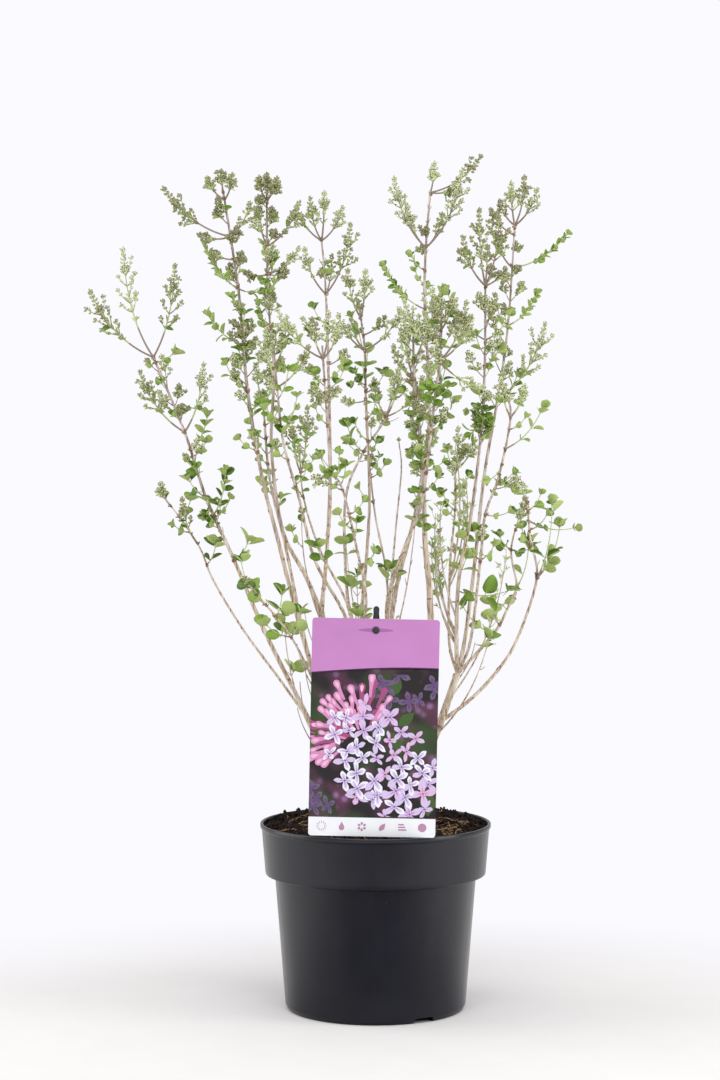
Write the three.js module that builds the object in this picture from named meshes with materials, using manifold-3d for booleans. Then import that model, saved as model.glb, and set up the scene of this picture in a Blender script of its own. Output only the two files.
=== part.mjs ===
// A potted dwarf lilac just breaking into leaf and bud: nursery pot, soil, picture label on its
// holder, root crown, main stems, one long bough for each wand, and a head of twigs, leaves and
// flower buds on each bough. Millimetres and degrees, +Z up, front towards -Y, origin at the
// centre of the pot's underside.
import * as THREE from "three";
import { mergeVertices } from "three/addons/utils/BufferGeometryUtils.js";
import Module from "manifold-3d";

const wasm = await Module();
wasm.setup();

// ---- driving dimensions ------------------------------------------------------------------

const GAP = 0.3; // clear space between neighbouring pieces

const POT = {
  height: 153.5, rimRadius: 95, wall: 1.6, rimLip: 2.6, rimLipHeight: 3,
  collarFoot: 116, collarFootRadius: 91, shoulder: 110.5, shoulderRadius: 83,
  baseRadius: 74.5, footRadius: 72, footRise: 4, floor: 2.4,
  sides: 36,
};
const DRAIN = { count: 3, width: 18, height: 3.4, inner: 63, bearing: -58 };
const SOIL = { top: 153, flatRadius: 40, edgeTop: 148.5 };
const CARD = { width: 101, height: 173.5, thickness: 0.8, corner: 2.4, hole: 2.4, holeDrop: 9,
  centreX: -3.6, bottom: 154.6, front: -86, lean: 1.2 };
const HOLDER = { width: 8, topWidth: 5, thickness: 2, foot: 119, top: 338, knob: 3, knobHeight: 1.6,
  shaft: 1.9 };
const CROWN = { x: -3, height: 24, footRadius: 19, waistRadius: 13, topRadius: 11, lobes: 5,
  lobeShare: 0.14 };

// The short main stems: where each ends in its fork, and its thickness at foot and fork.
const STEMS = [
  { name: "left", fork: [-54, 4, 236], girth: [8, 5.6] },
  { name: "left_inner", fork: [-47, -22, 265], girth: [7.6, 5.4] },
  { name: "mid_left", fork: [-45, 18, 326], girth: [8.4, 5.8] },
  { name: "front", fork: [-19, -26, 294], girth: [7, 5] },
  { name: "back", fork: [-4, 32, 285], girth: [7, 5] },
  { name: "mid_right", fork: [11, 14, 303], girth: [7.6, 5.8] },
  { name: "right", fork: [67, -4, 276], girth: [8.6, 6] },
];

// Each wand: the limb it leaves and how far along that, the places it passes as [sideways,
// height], how far its tip stands behind (+) or in front of (-) its middle plane, and its
// thickness at foot and tip. Panicle arms and leafy shoots are [height, bearing, rise, length]:
// bearing 0 is to the right and 90 to the back, and rise is measured up from level.
const WANDS = [
  { name: "far_left", from: ["stem_left", 1], depth: -10, girth: [4.2, 1.9],
    route: [[-91, 311], [-116, 370], [-139, 422], [-156, 475], [-182, 538]],
    panicles: [[536, -160, 45, 75], [536, 130, 65, 99], [536, -55, 65, 81], [475, 155, 50, 65],
      [475, -50, 65, 61]],
    shoots: [[532, -15, 25, 17], [460, 40, 60, 34], [407, -50, 65, 39], [370, 25, 50, 19],
      [422, -160, 45, 20]] },
  { name: "low_left", from: ["stem_left", 1], depth: 70, girth: [2.6, 1.3],
    route: [[-79, 269], [-110, 309], [-136, 350], [-150, 381], [-183, 426]],
    panicles: [[381, -130, 65, 42], [413, 145, 60, 21]],
    shoots: [[363, -35, 60, 19], [390, 165, 20, 14], [402, -30, 55, 19]] },
  { name: "left_leafy", from: ["stem_left_inner", 1], depth: -90, girth: [2.2, 1.3],
    route: [[-68, 312], [-94, 347], [-104, 361]],
    panicles: [],
    shoots: [[347, -145, 60, 30], [329, 55, 65, 18], [312, -165, 25, 21], [312, 40, 60, 20],
      [339, -155, 50, 15]] },
  { name: "tall_left", from: ["stem_left_inner", 1], depth: -60, girth: [4.2, 1.7],
    route: [[-63, 323], [-79, 388], [-92, 441], [-103, 509], [-109, 581], [-116, 631], [-122, 669]],
    panicles: [[660, 155, 50, 24], [660, -45, 65, 22], [666, 105, 70, 19], [631, -165, 35, 66],
      [631, 165, 5, 27], [631, -30, 55, 32], [613, 165, 20, 20]],
    shoots: [[590, 155, 50, 45], [590, -15, -5, 22], [545, 165, 40, 39], [509, -160, 50, 28],
      [461, 165, 30, 16], [493, -20, 45, 14]] },
  { name: "left_short", from: ["stem_left_inner", 1], depth: 60, girth: [3.4, 1.7],
    route: [[-60, 312], [-74, 377], [-88, 434], [-93, 484], [-95, 504]],
    panicles: [[502, -115, 70, 31], [502, 45, 65, 25]],
    shoots: [[468, -160, 45, 18], [480, 20, 45, 15], [447, -150, 55, 16]] },
  { name: "tall_left_inner", from: ["stem_mid_left", 1], depth: 30, girth: [4, 1.7],
    route: [[-58, 356], [-77, 394], [-86, 460], [-84, 526], [-89, 592], [-90, 688]],
    panicles: [[666, 135, 65, 22], [666, -35, 60, 21], [628, 120, 70, 45], [628, -25, 50, 47],
      [605, 15, 40, 35], [605, -165, 5, 20], [592, 35, 55, 27]],
    shoots: [[605, 15, 10, 18], [559, -145, 60, 24], [542, 20, 45, 22], [526, -150, 55, 19]] },
  { name: "panicle_left", from: ["stem_front", 1], depth: -100, girth: [3.2, 1.5],
    route: [[-25, 327], [-49, 373], [-61, 422], [-73, 466], [-78, 511], [-81, 552]],
    panicles: [[511, -115, 70, 49], [511, 25, 50, 42], [528, -55, 65, 37]],
    shoots: [[485, -165, 35, 14], [485, 15, 35, 14], [477, -35, 60, 30], [454, 165, 40, 15],
      [434, -25, 50, 15]] },
  { name: "thin_mid_left", from: ["stem_front", 1], depth: 60, girth: [2.6, 1.3],
    route: [[-23, 332], [-46, 377], [-60, 420], [-64, 463]],
    panicles: [[440, 75, 70, 59], [440, -115, 70, 48]],
    shoots: [[440, 20, 45, 15], [420, -145, 60, 15]] },
  { name: "front_mid", from: ["stem_left_inner", 1], depth: -130, girth: [3.4, 1.6],
    route: [[-43, 331], [-40, 374], [-36, 422], [-38, 478], [-42, 543]],
    panicles: [[533, 160, 45, 54], [533, -125, 65, 34], [533, 70, 70, 38], [533, -35, 60, 30]],
    shoots: [[516, 15, 40, 19], [505, -150, 55, 20], [501, 20, 45, 14], [482, -155, 50, 15]] },
  { name: "tall_mid", from: ["stem_mid_left", 1], depth: 120, girth: [3.8, 1.6],
    route: [[-41, 368], [-38, 434], [-39, 501], [-42, 592], [-46, 641]],
    panicles: [[638, -155, 50, 37], [638, 125, 65, 42], [638, -80, 70, 43], [638, 30, 55, 36],
      [592, -145, 60, 44], [592, 65, 70, 36], [592, -40, 65, 65]],
    shoots: [[565, -155, 50, 19], [531, 15, 40, 20], [501, -160, 40, 14]] },
  { name: "back_mid", from: ["stem_back", 1], depth: 160, girth: [3.2, 1.7],
    route: [[-20, 319], [-25, 357], [-25, 418], [-10, 456], [10, 487], [20, 528]],
    panicles: [[487, -55, 65, 46], [487, 15, 40, 40], [487, -135, 65, 36]],
    shoots: [[456, -145, 55, 29], [456, 15, 35, 16], [487, -155, 50, 18]] },
  { name: "centre", from: ["stem_back", 1], depth: -10, girth: [3.4, 1.6],
    route: [[-11, 321], [-7, 377], [-5, 427], [-8, 501], [-9, 542], [-14, 582]],
    panicles: [[542, -155, 50, 37], [542, 140, 60, 30], [542, -20, 45, 44], [568, 125, 65, 44],
      [568, -75, 70, 40], [554, 15, 40, 24]],
    shoots: [[507, -20, 45, 22], [501, 165, 0, 20], [526, -160, -45, 14], [485, 35, 60, 18],
      [468, -155, 50, 17]] },
  { name: "thin_centre", from: ["stem_mid_right", 1], depth: 20, girth: [2.6, 1.3],
    route: [[11, 329], [8, 365], [0, 405], [-6, 457]],
    panicles: [],
    shoots: [[455, 165, 30, 20], [455, -30, 55, 12], [437, 20, 40, 15], [417, -160, 40, 16]] },
  { name: "front_leafy", from: ["stem_front", 1], depth: -160, girth: [2.8, 1.4],
    route: [[-8, 339], [-16, 389], [-26, 432], [-33, 444]],
    panicles: [],
    shoots: [[442, 155, 50, 19], [442, -60, 70, 18], [432, 165, 35, 14], [413, -20, 40, 14],
      [401, 160, 45, 15], [372, -20, 40, 14]] },
  { name: "dead_twig", from: ["bough_thin_centre", 0.3], depth: 70, girth: [2, 1],
    route: [[17, 392], [22, 442], [20, 467]],
    panicles: [], shoots: [] },
  { name: "tallest_right", from: ["stem_mid_right", 1], depth: 90, girth: [4.2, 1.8],
    route: [[18, 348], [34, 409], [43, 464], [46, 501], [42, 578], [43, 630], [47, 679]],
    panicles: [[677, 15, 35, 55], [677, -15, 10, 23], [677, 75, 60, 30], [630, -145, 60, 66],
      [630, 140, 60, 41], [630, -35, 60, 73], [630, 35, 60, 34]],
    shoots: [[578, 160, 45, 51], [578, -20, 45, 21], [535, 20, 45, 17], [501, -160, 45, 16],
      [611, 160, 45, 17]] },
  { name: "front_right", from: ["stem_mid_right", 1], depth: -110, girth: [3.8, 1.7],
    route: [[10, 338], [24, 384], [37, 421], [46, 501], [50, 532], [51, 579]],
    panicles: [[532, 15, -30, 42], [532, -150, 55, 57], [532, 105, 70, 60], [532, -40, 60, 52],
      [532, 25, 50, 44], [556, -45, 65, 26]],
    shoots: [[513, 20, -40, 17], [477, -15, 35, 16], [445, 15, 25, 14], [429, -15, 40, 14],
      [461, 165, 35, 14]] },
  { name: "right_thick", from: ["root_crown", 1], depth: -40, girth: [7, 1.7],
    route: [[40, 298], [44, 339], [40, 384], [39, 420], [36, 469], [31, 517], [30, 565]],
    panicles: [[517, 115, 70, 59], [517, -150, 55, 34], [533, 50, 65, 39], [505, -40, 60, 30]],
    shoots: [[469, 135, 65, 21], [469, -25, 50, 16], [497, 165, 40, 14], [445, -155, 50, 16]] },
  { name: "back_right", from: ["stem_right", 1], depth: 100, girth: [2.8, 1.4],
    route: [[61, 303], [63, 363], [68, 408], [69, 442], [79, 463]],
    panicles: [[442, -30, 55, 32], [442, 80, 70, 38]],
    shoots: [[408, -155, 50, 17], [425, 20, 40, 15], [442, -145, 60, 18]] },
  { name: "right_upright", from: ["stem_right", 1], depth: -60, girth: [4, 1.7],
    route: [[66, 313], [68, 359], [77, 408], [84, 469], [87, 529], [87, 595]],
    panicles: [[592, 140, 60, 46], [592, -85, 70, 33], [592, 100, 70, 66], [592, -60, 70, 58],
      [592, 15, 40, 22]],
    shoots: [[549, 155, 50, 52], [549, -20, 45, 29], [501, 165, -35, 14], [489, -150, -55, 17],
      [529, 20, 45, 17]] },
  { name: "right_tall", from: ["stem_right", 1], depth: 40, girth: [3.8, 1.6],
    route: [[74, 308], [82, 369], [90, 439], [101, 501], [110, 563], [116, 649]],
    panicles: [[646, -60, 70, 42], [646, 100, 70, 39], [646, -30, 55, 36], [646, 145, 55, 26],
      [638, -160, 45, 30], [611, 145, 60, 29], [501, -30, 55, 77]],
    shoots: [[611, -15, 30, 53], [563, 20, 45, 36], [501, -25, 50, 28], [563, 150, 55, 17]] },
  { name: "right_front", from: ["stem_right", 1], depth: -130, girth: [3, 1.5],
    route: [[77, 306], [83, 374], [86, 411], [96, 442], [104, 488], [99, 510]],
    panicles: [[488, 35, 60, 28], [488, -125, 65, 33]],
    shoots: [[463, 20, 45, 44], [478, -15, 35, 15], [442, 20, -45, 14], [411, -15, 5, 18],
      [374, 155, 50, 21], [374, -20, 45, 15], [450, 155, -50, 14]] },
  { name: "right_leafy", from: ["stem_right", 1], depth: 60, girth: [3, 1.4],
    route: [[98, 308], [110, 328], [118, 345], [114, 376], [123, 409]],
    panicles: [[392, 45, 65, 30]],
    shoots: [[345, 50, 65, 39], [376, -160, 45, 14], [345, 155, -50, 19], [308, -165, 40, 34],
      [315, 145, 60, 18], [376, -15, 0, 14]] },
  { name: "far_right", from: ["stem_right", 0.7], depth: 15, girth: [3.4, 1.5],
    route: [[78, 255], [100, 278], [117, 305], [133, 354], [128, 386], [125, 419]],
    panicles: [[419, 125, 65, 18]],
    shoots: [[354, 35, 60, 48], [354, -60, 70, 65], [357, 25, 50, 21], [394, -15, 40, 18],
      [402, 15, -10, 40], [410, -25, 50, 17], [382, 150, 55, 15]] },
];

const HEAD_LEAD = 12; // a head starts this far under its lowest shoot
const SUNK = 0.3; // how far past a twig's middle the foot of a leaf or spoke reaches
const ROOTED = 2.6; // a twig's foot widens from a point over this much of its length
const ARM = { bend: 24, thickness: 2.2, neck: 1.3, pairsFrom: [32, 66] };
const SPOKE = { share: 0.3, spread: 50, width: 4.6, widest: 0.7 };
const BUD = { length: 10, width: 5 };
const LEAF = { length: 15, small: 11, widthShare: 0.64, thickShare: 0.07, widest: 0.45,
  pairSpread: 62 };
const SHOOT = { thickness: 2, tip: 1.4, leafEvery: 20, shortest: 18 };

const COLOURS = {
  pot: 0x3a3b3e, soil: 0x2c211b, card: 0xc486c2, holder: 0x1c1c1f, bark: 0x9a8371, head: 0x6f8f45,
};

// ---- small helpers -----------------------------------------------------------------------

const rad = THREE.MathUtils.degToRad;
const vec = (x, y, z) => new THREE.Vector3(x, y, z);

// A seeded run of numbers from 0 to 1.
function dice(seed) {
  let state = seed >>> 0;
  return () => {
    state = (state + 0x6d2b79f5) >>> 0;
    let mixed = Math.imul(state ^ (state >>> 15), state | 1);
    mixed ^= mixed + Math.imul(mixed ^ (mixed >>> 7), mixed | 61);
    return ((mixed ^ (mixed >>> 14)) >>> 0) / 4294967296;
  };
}

function heading(bearing, rise) {
  const level = Math.cos(rad(rise));
  return vec(level * Math.cos(rad(bearing)), level * Math.sin(rad(bearing)), Math.sin(rad(rise)));
}

// Two directions square to the given one, turned so that the first stays level.
function squareTo(direction) {
  const upright = Math.abs(direction.z) > 0.999 ? vec(1, 0, 0) : vec(0, 0, 1);
  const across = upright.cross(direction).normalize();
  return [across, direction.clone().cross(across)];
}

// A closed geometry as a solid. Faces that a pointed end has closed up are left out.
function toSolid(geometry) {
  const bare = geometry.clone();
  for (const name of Object.keys(bare.attributes)) {
    if (name !== "position") bare.deleteAttribute(name);
  }
  const merged = mergeVertices(bare, 1e-4);
  const corners = [];
  for (let i = 0; i < merged.index.count; i += 3) {
    const face = [0, 1, 2].map((corner) => merged.index.getX(i + corner));
    if (new Set(face).size === 3) corners.push(...face);
  }
  return new wasm.Manifold(new wasm.Mesh({
    numProp: 3,
    vertProperties: Float32Array.from(merged.attributes.position.array),
    triVerts: Uint32Array.from(corners),
  }));
}

function toGeometry(solid) {
  const mesh = solid.getMesh();
  const geometry = new THREE.BufferGeometry();
  geometry.setAttribute("position", new THREE.BufferAttribute(mesh.vertProperties, 3));
  geometry.setIndex(new THREE.BufferAttribute(mesh.triVerts, 1));
  geometry.computeVertexNormals();
  return geometry;
}

// The biggest body of a solid, without loose scraps or sealed hollows.
function mainBody(solid) {
  const bodies = solid.decompose();
  return bodies.reduce((best, body) => (body.volume() > best.volume() ? body : best));
}

// A round bar bent along a curve: a cylinder whose rings are carried to the curve's points.
// rings lists the share along the curve and the thickness there, from foot to tip, and an end of
// no thickness is a point.
function bentBar(curve, rings, sides) {
  const steps = rings.length - 1;
  const bar = new THREE.CylinderGeometry(1, 1, 1, sides, steps);
  bar.rotateX(Math.PI / 2);
  let across = null;
  const frames = rings.map(([share, thickness]) => {
    const forward = curve.getTangent(share).normalize();
    if (across === null) [across] = squareTo(forward);
    across = across.clone().addScaledVector(forward, -across.dot(forward)).normalize();
    const up = forward.clone().cross(across);
    return { at: curve.getPoint(share), across, up, radius: thickness / 2 };
  });
  const place = bar.attributes.position;
  for (let i = 0; i < place.count; i += 1) {
    const frame = frames[Math.round((place.getZ(i) + 0.5) * steps)];
    const reach = Math.hypot(place.getX(i), place.getY(i)) > 0.01 ? frame.radius : 0;
    const turn = Math.atan2(place.getY(i), place.getX(i));
    const spot = frame.at.clone()
      .addScaledVector(frame.across, reach * Math.cos(turn))
      .addScaledVector(frame.up, reach * Math.sin(turn));
    place.setXYZ(i, spot.x, spot.y, spot.z);
  }
  return bar;
}

// Evenly spaced rings that taper from foot to tip.
function taper(foot, tip, steps) {
  return Array.from({ length: steps + 1 }, (_, i) => [i / steps, foot + (tip - foot) * i / steps]);
}

// A six-faced spindle from one point to another, widest at the given share of its length: flat
// below, with a ridge along its back.
function spindle(from, to, width, thickness, widest, across) {
  const forward = to.clone().sub(from);
  const up = forward.clone().normalize().cross(across).normalize();
  const middle = from.clone().addScaledVector(forward, widest);
  const left = middle.clone().addScaledVector(across, -width / 2);
  const right = middle.clone().addScaledVector(across, width / 2);
  const ridge = middle.clone().addScaledVector(up, thickness);
  const corners = [from, to, left, right, ridge].flatMap((at) => at.toArray());
  const faces = [0, 4, 3, 0, 2, 4, 0, 3, 2, 1, 3, 4, 1, 4, 2, 1, 2, 3];
  const shape = new THREE.BufferGeometry();
  shape.setAttribute("position", new THREE.Float32BufferAttribute(corners, 3));
  shape.setIndex(faces);
  return shape;
}

// ---- the space that each limb and head holds ----------------------------------------------

const CELL = 10;
const space = new Map();

function cellKey(x, y, z) {
  return `${Math.floor(x / CELL)},${Math.floor(y / CELL)},${Math.floor(z / CELL)}`;
}

// Points about a millimetre apart from one end of a stretch to the other.
function beads(from, to) {
  const count = Math.max(1, Math.ceil(from.distanceTo(to)));
  return Array.from({ length: count + 1 }, (_, i) => from.clone().lerp(to, i / count));
}

function claim(owner, points, radius) {
  for (const at of points) {
    const key = cellKey(at.x, at.y, at.z);
    if (!space.has(key)) space.set(key, []);
    space.get(key).push({ owner, at, radius });
  }
}

function isFree(owner, points, radius) {
  for (const at of points) {
    for (let dx = -1; dx <= 1; dx += 1) {
      for (let dy = -1; dy <= 1; dy += 1) {
        for (let dz = -1; dz <= 1; dz += 1) {
          const key = cellKey(at.x + dx * CELL, at.y + dy * CELL, at.z + dz * CELL);
          for (const bead of space.get(key) ?? []) {
            const room = radius + bead.radius + 2 * GAP;
            if (bead.owner !== owner && bead.at.distanceTo(at) < room) return false;
          }
        }
      }
    }
  }
  return true;
}

// ---- pot, soil and label -------------------------------------------------------------------

function lathe(profile, sides) {
  const geometry = new THREE.LatheGeometry(profile.map(([r, z]) => new THREE.Vector2(r, z)), sides);
  return geometry.rotateX(Math.PI / 2);
}

// The pot's inner wall, from the floor up, drawn in by a clearance for the soil that fills it.
function innerWall(clear) {
  const wall = POT.wall + clear;
  const floor = POT.floor + clear;
  return [
    [POT.footRadius - wall, floor],
    [POT.baseRadius - wall, floor + POT.footRise],
    [POT.shoulderRadius - wall, POT.shoulder + POT.wall],
    [POT.collarFootRadius - wall, POT.collarFoot + POT.wall],
  ];
}

function potShell() {
  const outer = [
    [0, 0],
    [POT.footRadius - 2, 0],
    [POT.footRadius, 0.8],
    [POT.baseRadius, POT.footRise],
    [POT.shoulderRadius, POT.shoulder],
    [POT.collarFootRadius - 1.5, POT.shoulder + 1.5],
    [POT.collarFootRadius, POT.collarFoot],
    [POT.rimRadius - 1, POT.height - POT.rimLipHeight],
    [POT.rimRadius, POT.height - POT.rimLipHeight + 1],
    [POT.rimRadius, POT.height],
    [POT.rimRadius - POT.rimLip, POT.height],
    ...innerWall(0).reverse(),
    [0, POT.floor],
  ];
  return toSolid(lathe(outer, POT.sides));
}

function drainNotches() {
  return Array.from({ length: DRAIN.count }, (_, i) => {
    const depth = POT.rimRadius - DRAIN.inner;
    const notch = new THREE.BoxGeometry(depth, DRAIN.width, DRAIN.height * 2);
    notch.translate(DRAIN.inner + depth / 2, 0, 0);
    notch.rotateZ(rad(DRAIN.bearing + i * 360 / DRAIN.count));
    return toSolid(notch);
  });
}

function soilBody() {
  const [foot, ...wall] = innerWall(GAP);
  const profile = [
    [0, foot[1]],
    foot,
    ...wall,
    [POT.rimRadius - POT.rimLip - GAP - 1, SOIL.edgeTop],
    [SOIL.flatRadius, SOIL.top],
    [0, SOIL.top],
  ];
  return toSolid(lathe(profile, POT.sides));
}

function roundedCard() {
  const { width, height, corner } = CARD;
  const left = -width / 2;
  const shape = new THREE.Shape();
  shape.moveTo(left + corner, 0);
  shape.lineTo(-left - corner, 0);
  shape.absarc(-left - corner, corner, corner, -Math.PI / 2, 0, false);
  shape.absarc(-left - corner, height - corner, corner, 0, Math.PI / 2, false);
  shape.absarc(left + corner, height - corner, corner, Math.PI / 2, Math.PI, false);
  shape.absarc(left + corner, corner, corner, Math.PI, 1.5 * Math.PI, false);
  const hole = new THREE.Path();
  hole.absarc(0, height - CARD.holeDrop, CARD.hole, 0, 2 * Math.PI, true);
  shape.holes.push(hole);
  const card = new THREE.ExtrudeGeometry(shape, {
    depth: CARD.thickness, bevelEnabled: false, curveSegments: 3,
  });
  return card.rotateX(Math.PI / 2).translate(0, CARD.thickness, 0);
}

// The flat black stake behind the card, with the knob that the card hangs on.
function labelHolder() {
  const back = CARD.thickness + GAP;
  const height = HOLDER.top - CARD.bottom;
  const depth = CARD.bottom - HOLDER.foot;
  const blade = new THREE.Shape();
  blade.moveTo(-HOLDER.topWidth / 4, -depth);
  blade.lineTo(HOLDER.topWidth / 4, -depth);
  blade.lineTo(HOLDER.width / 2, -depth + HOLDER.width);
  blade.lineTo(HOLDER.width / 2, height - HOLDER.width * 2);
  blade.lineTo(HOLDER.topWidth / 2, height);
  blade.lineTo(-HOLDER.topWidth / 2, height);
  blade.lineTo(-HOLDER.width / 2, height - HOLDER.width * 2);
  blade.lineTo(-HOLDER.width / 2, -depth + HOLDER.width);
  const stake = new THREE.ExtrudeGeometry(blade, { depth: HOLDER.thickness, bevelEnabled: false });
  stake.rotateX(Math.PI / 2).translate(0, back + HOLDER.thickness, 0);
  const shaft = new THREE.CylinderGeometry(HOLDER.shaft, HOLDER.shaft, back + 2 * GAP + 1, 12);
  shaft.translate(0, (back + 1) / 2 - GAP, CARD.height - CARD.holeDrop);
  const knob = new THREE.CylinderGeometry(HOLDER.knob, HOLDER.knob * 0.8, HOLDER.knobHeight, 16);
  knob.translate(0, -GAP - HOLDER.knobHeight / 2, CARD.height - CARD.holeDrop);
  return wasm.Manifold.union([toSolid(stake), toSolid(shaft), toSolid(knob)]);
}

// ---- root crown, stems and boughs -----------------------------------------------------------

const crownFoot = SOIL.top + GAP;

function rootCrown() {
  const rings = [
    [CROWN.footRadius, 0], [CROWN.waistRadius + 2, 0.25], [CROWN.waistRadius, 0.5],
    [CROWN.topRadius, 0.85], [CROWN.topRadius * 0.55, 1],
  ];
  const profile = [[0, 0], ...rings.map(([r, share]) => [r, share * CROWN.height]),
    [0, CROWN.height]];
  const shape = lathe(profile, 15);
  const place = shape.attributes.position;
  for (let i = 0; i < place.count; i += 1) {
    const turn = Math.atan2(place.getY(i), place.getX(i));
    const low = 1 - place.getZ(i) / CROWN.height;
    const swell = 1 + CROWN.lobeShare * low * Math.cos(CROWN.lobes * turn);
    place.setXY(i, place.getX(i) * swell + CROWN.x, place.getY(i) * swell);
  }
  return shape.translate(0, 0, crownFoot);
}

const limbs = new Map(); // name to { curve, foot, tip }, thicknesses in mm

// A stem's line: out of the root crown, bowed upwards to its fork.
function stemCurve(fork) {
  const start = vec(CROWN.x + fork.x * 0.12, fork.y * 0.2, crownFoot + CROWN.height * 0.5);
  const bow = start.clone().lerp(fork, 0.5).add(vec(fork.x * 0.1, fork.y * 0.1, -8));
  return new THREE.CatmullRomCurve3([start, bow, fork], false, "catmullrom", 0.5);
}

// A wand leans out early and then stands up: its depth grows by this share of the way up.
function depthShare(up) {
  return up * (1.5 - 0.5 * up);
}

function wandCurve(wand) {
  const [parent, share] = wand.from;
  const start = parent === "root_crown"
    ? vec(CROWN.x + 3, -4, crownFoot + CROWN.height * 0.5)
    : limbs.get(parent).curve.getPoint(share);
  const top = wand.route.at(-1)[1];
  const places = wand.route.map(([x, z]) => {
    const up = (z - start.z) / (top - start.z);
    return vec(x, start.y + (wand.depth - start.y) * depthShare(up), z);
  });
  return new THREE.CatmullRomCurve3([start, ...places], false, "catmullrom", 0.5);
}

// The part of a curve between two of its shares, as a curve of its own.
class Stretch extends THREE.Curve {
  constructor(whole, from, to) {
    super();
    Object.assign(this, { whole, from, to });
  }

  getPoint(share, target) {
    return this.whole.getPoint(this.from + (this.to - this.from) * share, target);
  }
}

// The share of a rising curve at which it reaches a height.
function shareAt(curve, height) {
  let low = 0;
  let high = 1;
  for (let i = 0; i < 24; i += 1) {
    const middle = (low + high) / 2;
    if (curve.getPoint(middle).z < height) low = middle;
    else high = middle;
  }
  return low;
}

// Each limb is cut 0.3 mm clear of those that were made before it.
const carved = [];

function addLimb(name, curve, girth, sides, steps) {
  const [foot, tip] = girth;
  const body = toSolid(bentBar(curve, taper(foot, tip, steps), sides));
  const grown = 2.4 * GAP;
  const swollen = toSolid(bentBar(curve, taper(foot + grown, tip + grown, steps), sides));
  const box = body.boundingBox();
  const near = carved.filter((other) => [0, 1, 2].every((axis) => (
    other.box.min[axis] < box.max[axis] + 1 && other.box.max[axis] > box.min[axis] - 1)));
  const cleared = near.length > 0
    ? body.subtract(wasm.Manifold.union(near.map((other) => other.swollen)))
    : body;
  carved.push({ swollen, box: swollen.boundingBox() });
  limbs.set(name, { curve, foot, tip });
  const count = Math.ceil(curve.getLength());
  for (let i = 0; i <= count; i += 1) {
    const share = i / count;
    claim(name, [curve.getPoint(share)], (foot + (tip - foot) * share) / 2);
  }
  return mainBody(cleared);
}

// ---- heads: twigs, buds and leaves -----------------------------------------------------------

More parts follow.
